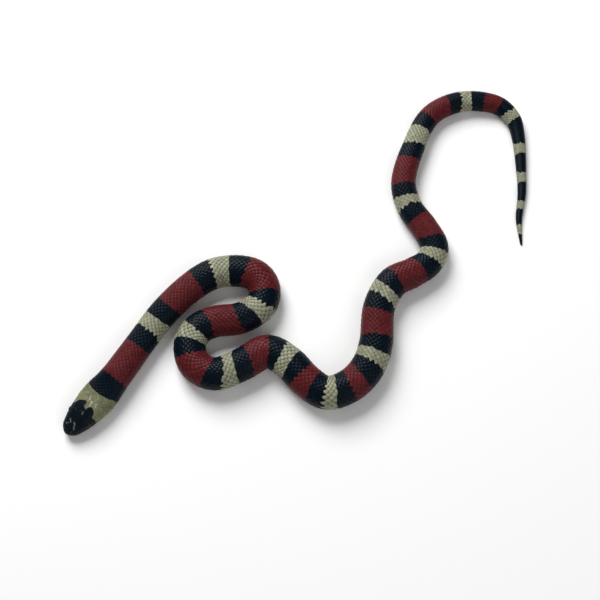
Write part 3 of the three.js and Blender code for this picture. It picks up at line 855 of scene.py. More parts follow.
@dataclass
class HeadShields:
    """The large smooth plates of the head, from the snout to the nape and under the chin."""

    body: Body
    markings: Markings
    sides: int = 44
    # Each ring of a plate from its edge inwards: how far in, and its height over the head.
    rings: tuple[tuple[float, float], ...] = ((0.0, -0.5), (0.01, 0.04), (0.06, 0.1), (0.18, 0.14))
    # How far in those rings lie at most, against the plate's reach, and the rings inside them.
    deepest: float = 0.4
    inner_shares: tuple[float, ...] = (0.86, 0.72, 0.58, 0.44, 0.3, 0.15, 0.0)
    crest: float = 0.16
    # Gap round each plate, how far from its corners they are cut, and how much of an edge at most.
    groove: float = 0.015
    corner_cut: float = 0.12
    most_cut: float = 0.3
    # Distance and way round of a nostril, its radius, and the heights of its rim and its bottom.
    nostril: tuple[float, float] = (2.9, 4.55)
    nostril_reach: float = 0.42
    nostril_heights: tuple[float, float] = (0.0, -0.8)
    # The bake map shows the head unrolled round its tip, once for the tops and once for the
    # undersides: middle and half size of each disc, and the power that gives the snout more room.
    discs: tuple[tuple[float, ...], ...] = ((0.365, 0.5, 0.355, 0.49), (0.865, 0.5, 0.125, 0.49))
    disc_power: float = 0.7

    def __post_init__(self) -> None:
        """Draws the stencil of every plate."""
        self.stencil = Stencil(self.sides, len(self.rings) + len(self.inner_shares) - 1)

    def outline(self, corners: np.ndarray) -> np.ndarray:
        """A closed outline with its corners cut, as evenly spaced points that turn one way.

        Args:
            corners: the outline's corners in a plane, in either direction.

        Returns:
            One point for each side of the stencil.
        """
        after = np.roll(corners, -1, axis=0)
        turning = (corners[:, 0] * after[:, 1] - after[:, 0] * corners[:, 1]).sum()
        if turning < 0:
            corners = corners[::-1]
            after = np.roll(corners, -1, axis=0)
        edge = np.linalg.norm(after - corners, axis=1)[:, None]
        share = np.minimum(self.most_cut, self.corner_cut / edge)
        cut = np.stack([corners + (after - corners) * share, after + (corners - after) * share], axis=1)
        closed = np.vstack([cut.reshape(-1, 2), cut[0, :1]])
        passed = np.r_[0, np.cumsum(np.linalg.norm(np.diff(closed, axis=0), axis=1))]
        at = np.linspace(0, passed[-1], self.sides, endpoint=False)
        return np.column_stack([np.interp(at, passed, closed[:, k]) for k in (0, 1)])

    def bend(self, outline: np.ndarray, middle: np.ndarray) -> tuple[np.ndarray, np.ndarray]:
        """Lays the stencil's rings inside an outline.

        Args:
            outline: the plate's outline in a plane.
            middle: the point that the rings close on.

        Returns:
            The flat places of its vertices and their heights.
        """
        reach = np.linalg.norm(outline - middle, axis=1).mean()
        shares = [1 - (self.groove + min(inset, self.deepest * reach)) / reach for inset, _ in self.rings]
        shares += [share * shares[-1] for share in self.inner_shares]
        heights = [height for _, height in self.rings] + [self.crest] * len(self.inner_shares)
        share = np.array(shares)[self.stencil.level]
        flat = middle + (outline[self.stencil.corner] - middle) * share[:, None]
        return flat, np.array(heights)[self.stencil.level]

    def pierce(self, flat: np.ndarray, heights: np.ndarray, side: Side) -> None:
        """Draws a nasal shield's last rings together into the nostril's pit.

        Args:
            flat: the flat places of its vertices, which it changes.
            heights: their heights, which it changes.
            side: the shield's side of the head.
        """
        stencil = self.stencil
        nostril = np.array(self.nostril) * (1, side)
        rim = np.flatnonzero(stencil.level == stencil.levels - 1)
        start = flat[np.flatnonzero((stencil.level == 1) & (stencil.corner == 0))[0]]
        turn = stencil.corner[rim] / self.sides * 2 * math.pi + math.atan2(*(start - nostril)[::-1])
        flat[rim] = nostril + self.nostril_reach * np.column_stack([np.cos(turn), np.sin(turn)])
        flat[stencil.level == stencil.levels] = nostril
        heights[rim], heights[stencil.level == stencil.levels] = self.nostril_heights

    def outlines(self) -> dict[str, np.ndarray]:
        """Corners of every shield but the two at the tip of the snout.

        Returns:
            Rows of distance and way round, by name, for both sides.
        """
        right = {name: np.array(corners, float) for name, corners in SHIELDS.items()}
        for name, marks in (("upper_labial", UPPER_LIP), ("lower_labial", LOWER_LIP)):
            for number, (start, end) in enumerate(zip(marks, marks[1:])):
                corners = (start[:2], end[:2], (end[0], end[2]), (start[0], start[2]))
                right[f"{name}_{number}"] = np.array(corners, float)
        for number, corners in enumerate(CHIN_SHIELDS):
            flat = np.array(corners, float)
            flat[:, 1] = self.body.girth(flat[:, 0]) - flat[:, 1]
            right[f"chin_{number}"] = flat
        left = {f"left_{name}": corners * (1, Side.LEFT) for name, corners in right.items()}
        return {"frontal": np.array(FRONTAL, float), **right, **left}

    def shield(self, name: str, corners: np.ndarray) -> tuple[np.ndarray, ...]:
        """Bends one shield to its place on the head.

        Args:
            name: the shield's name.
            corners: its corners, as rows of distance and way round.

        Returns:
            For each vertex: distance, angle, height, distance behind the cap's edge and share of pale
                fleck and painted glint.
        """
        outline = Eye.clear(self.outline(corners))
        flat, heights = self.bend(outline, outline.mean(0))
        if name in ("nasal", "left_nasal"):
            self.pierce(flat, heights, Side.RIGHT if name == "nasal" else Side.LEFT)
        along, way = flat.T
        behind, paleness = self.markings.past_cap(along, way), self.markings.paleness(along, way)
        return along, self.body.angle_of(along, way), heights, behind, paleness

    def tip_shield(self, corners: tuple[tuple[float, float], ...]) -> tuple[np.ndarray, ...]:
        """Bends the rostral or the mental shield round the tip of the snout.

        Args:
            corners: its corners, as rows of distance and degrees round.

        Returns:
            For each vertex what shield gives, all of it inside the cap and free of flecks and painted
            glints.
        """
        flat = np.array(corners, float)
        rounding = self.body.snout_round
        reach = rounding * np.arccos(1 - flat[:, 0] / rounding)
        turn = np.radians(flat[:, 1])
        outline = self.outline(np.column_stack([reach * np.cos(turn), -reach * np.sin(turn)]))
        middle = np.zeros(2) if corners is ROSTRAL else outline.mean(0)
        flat, heights = self.bend(outline, middle)
        along = rounding * (1 - np.cos(np.hypot(*flat.T) / rounding))
        angle = np.arctan2(-flat[:, 1], flat[:, 0])
        return along, angle, heights, -np.ones(len(flat)), np.zeros(len(flat))

    def build(self) -> bpy.types.Object:
        """Lays every shield on the head and joins them.

        Returns:
            One mesh object of closed plates.
        """
        plates = [self.shield(name, corners) for name, corners in self.outlines().items()]
        plates += [self.tip_shield(corners) for corners in (ROSTRAL, MENTAL)]
        along, angle, lift, behind, paleness = (np.concatenate(parts) for parts in zip(*plates))
        reach = (along / along.max()) ** self.disc_power
        round_tip = np.column_stack([reach * np.cos(angle), reach * np.sin(angle)])
        shape = self.stencil.shape
        corners = round_tip.reshape(len(plates), -1, 2)[:, shape.loops]
        top, hidden = (np.array(disc[:2]) + corners * disc[2:] for disc in self.discs)
        patches = np.where(shape.under[:, None], hidden, top)
        paint = {
            "markings": np.tile(PALETTE[Worn.BLACK], (len(along), 1)),
            "next_markings": np.tile(PALETTE[Worn.NAPE], (len(along), 1)),
            "border": behind,
            "paleness": paleness,
        }
        return shape.copied("head_shields", self.body.raised(along, angle, lift), paint, patches)


@dataclass
class Eye:
    """A round eye with a round pupil, sunk in the head under a clear scale."""

    body: Body
    side: Side
    # Distance and way round of its middle, and the radius of the opening that the shields leave.
    along: ClassVar[float] = 10.8
    way: ClassVar[float] = 8.01
    opening: ClassVar[float] = 1.75
    radius: float = 2.3
    sunk: float = 1.75
    segments: int = 48
    # Half angles of the pupil and the iris, seen from the middle of the ball.
    pupil: float = math.radians(27)
    iris: float = math.radians(50)
    # Colours of the pupil, the iris and the rest of the ball.
    colours: tuple[str, str, str] = ("020203", "140807", "020305")

    @classmethod
    def clear(cls, outline: np.ndarray) -> np.ndarray:
        """Pushes the points of a shield's outline out of the eye's opening.

        Args:
            outline: rows of distance and way round.

        Returns:
            The outline, with no point inside the opening.
        """
        middle = np.array([cls.along, cls.way * np.sign(outline[:, 1].mean())])
        off = outline - middle
        reach = np.linalg.norm(off, axis=1)[:, None]
        return middle + off * np.maximum(1, cls.opening / np.maximum(reach, TINY))

    def build(self) -> bpy.types.Object:
        """Turns a ball to the side, paints its pupil and iris, and sinks it in the head.

        Returns:
            The eye as one mesh object.
        """
        along = np.array([self.along])
        angle = self.body.angle_of(along, np.array([self.way * self.side]))
        gaze = self.body.outward(along, angle)[0]
        centre = Vector(self.body.points(along, angle)[0] - gaze * self.sunk)
        turn = Vector((0, 0, 1)).rotation_difference(Vector(gaze)).to_matrix()
        ball = bmesh.new()
        bmesh.ops.create_uvsphere(
            ball, u_segments=self.segments, v_segments=self.segments, radius=self.radius
        )
        off = np.array([math.acos(max(-1, min(1, vertex.co.z / self.radius))) for vertex in ball.verts])
        zone = (off >= self.pupil).astype(int) + (off >= self.iris)
        wear(ball, np.array([linear(colour) for colour in self.colours])[zone])
        for vertex in ball.verts:
            vertex.co = (turn @ vertex.co + centre) * MM
        return finished(f"{self.side.name.lower()}_eye", ball)


@dataclass
class Scales:
    """Smooth overlapping scales, in rows whose neighbours stand half a scale apart."""

    body: Body
    markings: Markings
    # Length of a scale's step along the body: distance from the snout, step.
    steps: tuple[tuple[float, float], ...] = (
        (0, 1.45), (22, 1.5), (32, 2.1), (44, 2.5), (60, 2.57), (500, 2.57), (540, 2.1),
        (590, 1.5), (623, 1.05),
    )
    # Widths of the rows, from the middle of the back down to the belly, against each other.
    row_widths: tuple[float, ...] = (0.84, 0.86, 0.88, 0.91, 0.94, 0.98, 1.02, 1.08, 1.16, 1.28, 1.4)
    # Row of each flank that ends, and where: the rows nearer the back then lag by half a scale.
    dropped: tuple[tuple[int, float], ...] = (
        (7, 430), (8, 500), (6, 545), (5, 558), (4, 570), (9, 582), (3, 593), (2, 603),
    )
    # Half length over which a row fades out, and how much of it the row still has scales on.
    fade: float = 6
    fade_kept: float = 0.3
    # Where the rows start behind the shields: way round from the mid-back, distance.
    first: tuple[tuple[float, float], ...] = (
        (0, 20.3), (2.6, 20.9), (5.2, 20.2), (6.4, 20.9), (11.4, 21), (12, 19.8), (13, 19.7),
        (13.5, 19.1), (15.4, 18.8), (18, 17),
    )
    # Small scales of the throat: way round from the belly's midline, where they start.
    throat_rows: tuple[tuple[float, float], ...] = (
        (0, 13), (1.55, 13.4), (3.1, 13), (4.65, 12), (6.2, 12.6), (7.75, 15),
    )
    # Where they end behind, and their step.
    throat_end: float = 26.2
    throat_step: float = 1.6
    # The paired plates under the tail: where the vent is, how many steps behind it they start,
    # how far from the tail's tip they end, and half a pair's breadth against a row's width.
    vent: float = 537
    vent_steps: float = 0.9
    tip_gap: float = 1.5
    pair_share: float = 1.7
    # Half outline from the rear tip to the front: share of the step, share of the row's width.
    outline: tuple[tuple[float, float], ...] = (
        (0.64, 0), (0.59, 0.22), (0.46, 0.5), (0.23, 0.79), (-0.06, 0.94), (-0.34, 0.82),
        (-0.6, 0.44), (-0.8, 0),
    )
    # Rings of a scale from its root inwards: share of the outline and height over the body, then
    # where its middle lies and how much lower its front lies than its tip.
    level_shares: tuple[float, ...] = (1.03, 1, 0.8, 0.5, 0)
    level_heights: tuple[float, ...] = (-0.35, -0.18, -0.05, 0.05, 0.11)
    middle: tuple[float, float] = (0.05, 0)
    lie: float = 0.42
    # Step of the scales that have this full height.
    full_step: float = 2.57
    bake_map: BakeMap = BakeMap()
    seed: int = 11
    # How much the scales vary: in tone, in height, in where a border crosses and in roll.
    tone_spread: float = 0.11
    tone_limits: tuple[float, float] = (0.72, 1.28)
    other_spreads: tuple[float, float, float] = (0.015, 0.2, 0.035)
    names: tuple[str, ...] = ("scales_front", "scales_middle", "scales_rear", "scales_tail")
    cuts: tuple[float, ...] = (0, 180, 360, 537, 700)
    # How freely a border of colour crosses a scale, from 0 for not at all to 1 for freely, for the
    # row of PALETTE on its tail side: the front edges of cream and red follow the scales most.
    crossings: tuple[float, ...] = (0.85, 0.5, 0.4, 1)
    # Distances between which this sets in, and the place on a scale that a border is measured from.
    free_crossing: tuple[float, float] = (28, 34)
    border_place: float = 0.1
    # How much of a tip's colour each row of PALETTE takes, where on a scale it sets in, and how much
    # further in at the sides.
    tip_strength: tuple[float, ...] = (0, 0.4, 0.5, 0.3)
    tip_range: tuple[float, float] = (0.2, 0.6)
    tip_curve: float = 0.4
    # Painted shade at each scale's rim, where it tucks under its neighbours: how dark the rim is for each
    # row of PALETTE, and the rings between which this fades out.
    rim_shades: tuple[float, ...] = (0.75, 0.66, 0.46, 0.7)
    rim_levels: tuple[int, int] = (1, 3)
    # On the inner side of a bend the scales lie flatter, and the most squeezed are left out.
    least_stretch: float = 0.22
    full_stretch: float = 0.6

    def __post_init__(self) -> None:
        """Draws the stencil and the full outline."""
        self.stencil = Stencil(2 * len(self.outline) - 2, len(self.level_shares) - 1)
        half = np.array(self.outline)
        self.corners = np.vstack([half, (half[1:-1] * (1, -1))[::-1]])

    def step(self, along: np.ndarray) -> np.ndarray:
        """Length of a scale's step at some distances from the snout."""
        return between_pairs(self.steps, along)

    def count(self) -> np.ndarray:
        """How many steps of a scale lie between the snout and each station."""
        return np.r_[0, np.cumsum(self.body.station_step / self.step(self.body.stations))[:-1]]

    def faded(self, along: np.ndarray, end: float) -> np.ndarray:
        """How far a row that ends at a distance has faded out, from 0 to 1."""
        return smooth_rise(along, end - self.fade, end + self.fade)

    @staticmethod
    def sides(row: int) -> tuple[Side, ...]:
        """The sides that a row lies on, of which the middle row takes one."""
        return tuple(Side) if row else (Side.RIGHT,)

    def row_shares(self, along: np.ndarray) -> tuple[np.ndarray, np.ndarray]:
        """Where the rows of a flank lie.

        Args:
            along: distances from the snout.

        Returns:
            Middle and width of each row, as shares of the way from the back to the belly plates.
        """
        widths = np.repeat(np.array(self.row_widths)[:, None], len(along), axis=1)
        for row, end in self.dropped:
            widths[row] *= 1 - self.faded(along, end)
        reached = np.cumsum(widths, axis=0) - widths[0] / 2
        return (reached - widths / 2) / reached[-1], widths / reached[-1]

    def lag(self, row: int, along: np.ndarray) -> np.ndarray:
        """How many steps a row lags behind, which sets it between its neighbours.

        Args:
            row: the row, counted from the mid-back.
            along: distances from the snout.

        Returns:
            One lag for each distance.
        """
        lag = np.full(len(along), 0.5 * (row % 2))
        for other, end in self.dropped:
            if other > row:
                lag = lag + 0.5 * self.faded(along, end)
        return lag

    def back_roots(self) -> np.ndarray:
        """Every scale of the back and flanks.

        Returns:
            Rows of distance, way round, step and row width.
        """
        body = self.body
        fine = body.stations
        middles, widths = self.row_shares(fine)
        counted = self.count()
        ends = dict(self.dropped)
        found = []
        for row in range(len(self.row_widths)):
            passed = counted + self.lag(row, fine)
            whole = np.arange(math.ceil(passed[0]), math.floor(passed[-1]))
            along = np.interp(whole, passed, fine)
            along = along[along < ends.get(row, body.length) + self.fade_kept * self.fade]
            reach = body.flank(along)
            way = np.interp(along, fine, middles[row]) * reach
            width = np.interp(along, fine, widths[row]) * reach
            for side in self.sides(row):
                found.append(np.column_stack([along, side * way, self.step(along), width]))
        roots = np.vstack(found)
        return roots[roots[:, 0] > between_pairs(self.first, np.abs(roots[:, 1]))]

    def throat_roots(self) -> np.ndarray:
        """Every small scale of the throat.

        Returns:
            Rows of distance, way round, step and row width.
        """
        found = []
        width = self.throat_rows[1][0]
        for row, (off, start) in enumerate(self.throat_rows):
            along = np.arange(start, self.throat_end, self.throat_step)
            along = along + (0.5 * (row % 2) - np.mod(start / self.throat_step, 1)) * self.throat_step
            for side in self.sides(row):
                way = side * (self.body.girth(along) - off)
                sizes = np.tile((self.throat_step, width), (len(along), 1))
                found.append(np.column_stack([along, way, sizes]))
        return np.vstack(found)

    def tail_roots(self) -> np.ndarray:
        """The paired plates under the tail.

        Returns:
            Rows of distance, way round, step and row width.
        """
        body = self.body
        counted = self.count()
        start = np.interp(self.vent, body.stations, counted) + self.vent_steps
        found = []
        for side in Side:
            whole = np.arange(math.ceil(start), math.floor(counted[-1])) + (0.5 if side > 0 else 0)
            along = np.interp(whole, counted, body.stations)
            along = along[along < body.length - self.tip_gap]
            girth = body.girth(along)
            breadth = girth - body.flank(along)
            way = side * (girth - breadth / 2)
            found.append(np.column_stack([along, way, self.step(along), breadth / self.pair_share]))
        return np.vstack(found)

    def build(self) -> list[bpy.types.Object]:
        """Lays every scale on the body and joins them by lengths of the body.

        Returns:
            Mesh objects of closed scales, each under 200,000 triangles.
        """
        roots = np.vstack([self.back_roots(), self.throat_roots(), self.tail_roots()])
        roots = roots[self.body.stretch(*roots[:, :2].T) > self.least_stretch]
        chance = np.random.default_rng(self.seed)
        tone = chance.normal(1, self.tone_spread, len(roots)).clip(*self.tone_limits)
        others = [chance.normal(0, spread, len(roots)) for spread in self.other_spreads]
        luck = np.column_stack([tone, *others])
        pieces = []
        for name, start, end in zip(self.names, self.cuts, self.cuts[1:]):
            held = (roots[:, 0] >= start) & (roots[:, 0] < end)
            pieces.append(self.lay(name, roots[held], luck[held]))
        return pieces

    def painted(self, rows: np.ndarray, tone: np.ndarray, share: np.ndarray) -> np.ndarray:
        """Colours of every vertex of every scale.

        Args:
            rows: the row of PALETTE that each scale wears.
            tone: how light each scale is against the others.
            share: how much of the tip's colour each vertex of the stencil takes.

        Returns:
            One colour for each vertex, scale after scale.
        """
        strength = np.array(self.tip_strength)[rows][:, None] * share[None]
        colours = PALETTE[rows][:, None] * tone[:, None, None]
        colours = colours + (TIPS[rows][:, None] - colours) * strength[..., None]
        # The rim takes a painted shade, darkest at the root where the scales overlap.
        rim = np.array(self.rim_shades)[rows][:, None]
        inward = np.interp(self.stencil.level, self.rim_levels, (0, 1))
        colours *= (rim + (1 - rim) * inward)[..., None]
        colours[..., 3] = 1
        return colours.reshape(-1, 4)

    def lay(self, name: str, roots: np.ndarray, luck: np.ndarray) -> bpy.types.Object:
        """Bends a copy of the stencil to the body at each root and joins the copies.

        Args:
            name: the piece's name.
            roots: rows of distance, way round, step and row width.
            luck: rows of tone, lift, shift of the colour border and roll for each scale.

        Returns:
            The joined scales.
        """
        body, markings = self.body, self.markings
        root, root_way, step, width = roots.T
        tone, rise, stray, roll = luck.T
        level, shape = self.stencil.level, self.stencil.shape
        flat = self.corners[self.stencil.corner] * np.array(self.level_shares)[level][:, None]
        flat[level == self.stencil.levels] = self.middle
        front, rear = self.outline[-1][0], self.outline[0][0]
        height = np.array(self.level_heights)[level] + self.lie * (flat[:, 0] - rear) / (rear - front)
        along = root[:, None] + step[:, None] * flat[:, 0]
        way = root_way[:, None] + width[:, None] * flat[:, 1]
        flattening = np.minimum(1, body.stretch(root, root_way) / self.full_stretch)
        lift = height + rise[:, None] + roll[:, None] * flat[:, 1]
        lift *= (flattening * np.minimum(1, step / self.full_step))[:, None]
        placed = body.place(along.ravel(), way.ravel(), lift.ravel())
        freedom = smooth_rise(root, *self.free_crossing)
        before, after, behind = markings.borders(root + stray * freedom, root_way)
        crossing = 1 + (np.array(self.crossings)[after] - 1) * freedom
        behind = behind[:, None] + (crossing * step)[:, None] * (flat[:, 0] - self.border_place)
        share = smooth_rise(flat[:, 0] + self.tip_curve * np.abs(flat[:, 1]), *self.tip_range)
        paint = {
            "markings": self.painted(before, tone, share),
            "next_markings": self.painted(after, tone, share),
            "border": behind.ravel(),
        }
        # The head's pale flecks and painted glints reach the first scales.
        if root.min() < markings.fleck_end:
            paint["paleness"] = markings.paleness(along, way).ravel()
        bake = self.bake_map
        turned = root_way / body.girth(root)
        across = 0.5 + 0.5 * turned / np.abs(turned).max()
        patches = bake.spread(shape, bake.half_patch * flat, root, across, bake.under_share)
        return shape.copied(name, placed, paint, patches)


@dataclass
class BellyPlates:
    """The broad plates across the belly, one for each row of scales, from the throat to the vent."""

    body: Body
    markings: Markings
    scales: Scales
    throat: float = 26
    # The last plate, over the vent, is this much longer than the others.
    last_length: float = 1.7
    across: int = 14
    # Front and rear edge of a plate, in steps from its root, and how far its ends sweep forward.
    reach: tuple[float, float] = (-0.6, 0.62)
    sweep: float = 0.3
    sweep_power: int = 4
    depth: float = 0.18
    # How much lower a plate's front lies than its rear, and how far its ends tuck in.
    lie: float = 0.2
    tuck: float = 0.15
    tuck_power: int = 6
    overlap: float = 0.5
    # Half width of a plate on the bake map, and how much smaller its top is there than its rim.
    half_width: float = 0.46
    top_share: float = 0.94

    def build(self) -> bpy.types.Object:
        """Lays a curved strip across the belly at each step of the scales.

        Returns:
            One mesh object of closed plates.
        """
        body, scales = self.body, self.scales
        strip = bmesh.new()
        bmesh.ops.create_grid(strip, x_segments=2, y_segments=self.across, size=1)
        bmesh.ops.solidify(strip, geom=strip.faces[:], thickness=1)
        shape = Shape.read(strip)
        lengthwise, crosswise = shape.places[:, 0], shape.places[:, 1]
        counted = scales.count()
        ends = np.round(np.interp((self.throat, scales.vent), body.stations, counted))
        root = np.interp(np.arange(ends[0], ends[1] + 1), counted, body.stations)[:, None]
        length = scales.step(root)
        length[-1] *= self.last_length
        share = (lengthwise + 1) / 2
        shift = self.reach[0] + (self.reach[1] - self.reach[0]) * share
        along = root + length * (shift - self.sweep * np.abs(crosswise) ** self.sweep_power)
        girth = body.girth(along)
        span = girth - body.flank(along) + self.overlap
        way = girth + crosswise * span
        height = self.lie * (share - 1) - self.tuck * np.abs(crosswise) ** self.tuck_power
        height = np.where(shape.low, height - self.depth, height)
        squeezed = body.stretch(along.ravel(), way.ravel()) / scales.full_stretch
        lift = np.broadcast_to(height, along.shape).ravel() * np.minimum(1, squeezed)
        placed = body.place(along.ravel(), way.ravel(), lift)
        near_way = np.where(way > girth, way - 2 * girth, way)
        rows = self.markings.rows(np.broadcast_to(root, way.shape).ravel(), near_way.ravel())
        paint = {"markings": PALETTE[rows], "next_markings": PALETTE[rows]}
        size = np.where(shape.low[:, None], 1, self.top_share) * shape.places[:, :2]
        patch = size * (scales.bake_map.half_patch, self.half_width)
        patches = scales.bake_map.spread(shape, patch, root[:, 0], np.full(len(root), 0.5), 1)
        return shape.copied("belly_plates", placed, paint, patches)


@dataclass
class TailTip:
    """The smooth horny point that ends the tail."""

    body: Body
    # Half its length, how far it stands out past the tail, and its breadth against the tail's.
    reach: float = 1.9
    beyond: float = 0.15
    fullness: float = 0.88
    segments: tuple[int, int] = (24, 16)

    def build(self) -> bpy.types.Object:
        """Stretches a ball to a blunt point and lays it along the end of the tail.

        Returns:
            The point as one mesh object.
        """
        middle = np.full(1, self.body.length + self.beyond - self.reach)
        right, left = (self.body.points(middle, np.full(1, angle))[0] for angle in (0.0, math.pi))
        centre = Vector((right + left) / 2)
        half = (Vector(right) - centre).length * self.fullness
        behind = Vector((*self.body.table[-1, 2:4], 0))
        turn = Vector((1, 0, 0)).rotation_difference(behind).to_matrix()
        ball = bmesh.new()
        meridians, parallels = self.segments
        bmesh.ops.create_uvsphere(ball, u_segments=meridians, v_segments=parallels, radius=1)
        wear(ball, np.tile(PALETTE[Worn.BLACK], (len(ball.verts), 1)))
        for vertex in ball.verts:
            shape = Vector((vertex.co.x * self.reach, vertex.co.y * half, vertex.co.z * half))
            place = turn @ shape + centre
            place.z = max(place.z, 0)
            vertex.co = place * MM
        return finished("tail_tip", ball)


# Inputs of a Mix node that mixes colours, and its output.
FACTOR, FIRST, SECOND = 0, 6, 7
MIXED = 2


def add_node(
    tree: bpy.types.NodeTree, kind: str, settings: dict | None = None, links: dict | None = None
) -> bpy.types.Node:
    """Adds a node with its settings and links.

    Args:
        tree: the node tree.
        kind: the node's type name.
        settings: values of its attributes or, failing that, of its input sockets.
        links: the output sockets that its inputs take, by the input's name or number.

    Returns:
        The new node.
    """
    node = tree.nodes.new(kind)
    for name, value in (settings or {}).items():
        if isinstance(name, str) and hasattr(node, name):
            setattr(node, name, value)
        else:
            node.inputs[name].default_value = value
    for name, socket in (links or {}).items():
        tree.links.new(socket, node.inputs[name])
    return node


@dataclass(frozen=True)
class ScaleFinish:
    """Living keratin: smooth, dense and a little oily, so that it shines softly as if varnished."""

    name: str = "smooth_glossy_scale"
    roughness: float = 0.31
    ior: float = 1.45
    # Fine ridges on every scale swallow part of its gloss.
    gloss: float = 0.085
    # A clear wet layer on top, which only the eye has.
    coat: float = 0.0
    coat_roughness: float = 0.16
    # How light the colours look, against what the piece keeps.
    shade: float = 1.0
    # Clouds of pigment inside a scale: how strong, and how large.
    mottle: float = 0.16
    mottle_size: float = 0.9
    # The ridges are about 0.02 mm apart, too fine to show, so they are drawn ten times coarser.
    grain: float = 0.12
    grain_size: float = 0.22
    grain_depth: float = 0.05
    # Borders are sharp and ragged: how soft, how far they stray, and the size of their specks.
    border_softness: float = 0.06
    ragged: float = 0.7
    speck_size: float = 0.5
    # The specks also break up the flecks and the painted glints: range of the noise, and what it does to
    # their strength.
    gap_range: tuple[float, float] = (0.4, 0.6)
    gap_strength: tuple[float, float] = (0.6, 1.1)

    def build(self) -> bpy.types.Material:
        """Makes the material, which reads the colours that each piece keeps in its attributes.

        Returns:
            The material.
        """
        material = bpy.data.materials.new(self.name)
        material.use_nodes = True
        tree = material.node_tree
        shader = tree.nodes["Principled BSDF"]
        constants = {
            "Roughness": self.roughness,
            "IOR": self.ior,
            "Specular IOR Level": self.gloss,
            "Coat Weight": self.coat,
            "Coat Roughness": self.coat_roughness,
        }
        for socket, value in constants.items():
            shader.inputs[socket].default_value = value
        add = partial(add_node, tree)
        worn, next_worn, behind, fleck_glint_fac = (
            add("ShaderNodeAttribute", {"attribute_name": kept}).outputs[socket]
            for kept, socket in (
                ("markings", "Color"), ("next_markings", "Color"), ("border", "Fac"), ("paleness", "Fac")
            )
        )
        place = {"Vector": add("ShaderNodeTexCoord").outputs["Object"]}
        clouds, specks, grain = (
            add("ShaderNodeTexNoise", {"Scale": 1 / (size * MM), "Detail": detail}, place).outputs["Fac"]
            for size, detail in ((self.mottle_size, 3.0), (self.speck_size, 2.0), (self.grain_size, 2.0))
        )
        # The border runs where the distance behind it, shifted by the specks, passes the middle.
        strayed = add(
            "ShaderNodeMath",
            {"operation": "MULTIPLY_ADD", 1: self.ragged},
            {0: specks, 2: behind},
        )
        middle, soft = self.ragged / 2, self.border_softness
        edge = add(
            "ShaderNodeMapRange",
            {"From Min": middle - soft, "From Max": middle + soft},
            {"Value": strayed.outputs[0]},
        )
        both = add(
            "ShaderNodeMix",
            {"data_type": "RGBA"},
            {FACTOR: edge.outputs["Result"], FIRST: worn, SECOND: next_worn},
        )
        # The specks leave gaps in the pale flecks and the painted glints, so that they look brushed on.
        (low, high), (weak, strong) = self.gap_range, self.gap_strength
        gaps = add(
            "ShaderNodeMapRange",
            {"From Min": low, "From Max": high, "To Min": weak, "To Max": strong},
            {"Value": specks},
        )
        broken = add(
            "ShaderNodeMath",
            {"operation": "MULTIPLY", "use_clamp": True},
            {0: fleck_glint_fac, 1: gaps.outputs["Result"]},
        )
        # Mixes in the pale flecks and the painted glints, which are painted highlights.
        flecked_and_glinted = add(
            "ShaderNodeMix",
            {"data_type": "RGBA", SECOND: linear(Colour.FLECK.value)},
            {FACTOR: broken.outputs[0], FIRST: both.outputs[MIXED]},
        )
        # Clouds of pigment keep any scale from being one flat colour.
        shades = {"To Min": self.shade * (1 - self.mottle), "To Max": self.shade * (1 + self.mottle)}
        tone = add("ShaderNodeMapRange", shades, {"Value": clouds})
        mixed = add(
            "ShaderNodeMix",
            {"data_type": "RGBA", "blend_type": "MULTIPLY", FACTOR: 1.0},
            {FIRST: flecked_and_glinted.outputs[MIXED], SECOND: tone.outputs["Result"]},
        )
        tree.links.new(mixed.outputs[MIXED], shader.inputs["Base Color"])
        # The ridges break the gloss into a fine sparkle.
        ridges = {"Strength": self.grain, "Distance": self.grain_depth * MM}
        bump = add("ShaderNodeBump", ridges, {"Height": grain})
        tree.links.new(bump.outputs["Normal"], shader.inputs["Normal"])
        return material


@dataclass(frozen=True)
class Softbox:
    """A square soft light that looks at the middle of the floor."""

    name: str
    place: tuple[float, float, float]
    size: float
    power: float

    def build(self) -> None:
        """Hangs the light."""
        light = bpy.data.lights.new(self.name, "AREA")
        light.shape = "SQUARE"
        light.size = self.size
        light.energy = self.power
        softbox = link_object(self.name, light)
        softbox.location = self.place
        softbox.rotation_euler = Vector(self.place).to_track_quat("Z", "Y").to_euler()


@dataclass(frozen=True)
class MattPaper:
    """Uncoated white paper: it scatters the light evenly, so that the floor has no gloss."""

    name: str = "matt_white_paper"
    colour: str = "fcfcfc"
    roughness: float = 0.9

    def build(self) -> bpy.types.Material:
        """Makes the material.

        Returns:
            The material.
        """
        material = bpy.data.materials.new(self.name)
        material.use_nodes = True
        shader = material.node_tree.nodes["Principled BSDF"]
        shader.inputs["Base Color"].default_value = linear(self.colour)
        shader.inputs["Roughness"].default_value = self.roughness
        return material


@dataclass
class Studio:
    """A plain white floor under soft light, most of it from the upper left, sizes in metres."""

    floor_size: float = 6.0
    world_colour: str = "ffffff"
    world_strength: float = 0.21
    softboxes: tuple[Softbox, ...] = (
        Softbox("key_softbox", (-0.42, 0.85, 0.9), 0.75, 20.8),
        Softbox("fill_softbox", (0.5, -0.75, 0.75), 0.8, 3.2),
    )

    def build(self) -> None:
        """Makes the floor, the world and the lights, and keeps whites white."""
        sheet = bmesh.new()
        bmesh.ops.create_grid(sheet, x_segments=1, y_segments=1, size=self.floor_size / 2)
        floor = finished("floor", sheet)
        floor.data.materials.append(MattPaper().build())
        world = bpy.data.worlds.new("soft_sky")
        world.use_nodes = True
        background = world.node_tree.nodes["Background"]
        background.inputs["Color"].default_value = linear(self.world_colour)
        background.inputs["Strength"].default_value = self.world_strength
        bpy.context.scene.world = world
        for softbox in self.softboxes:
            softbox.build()
        bpy.context.scene.view_settings.view_transform = "Standard"


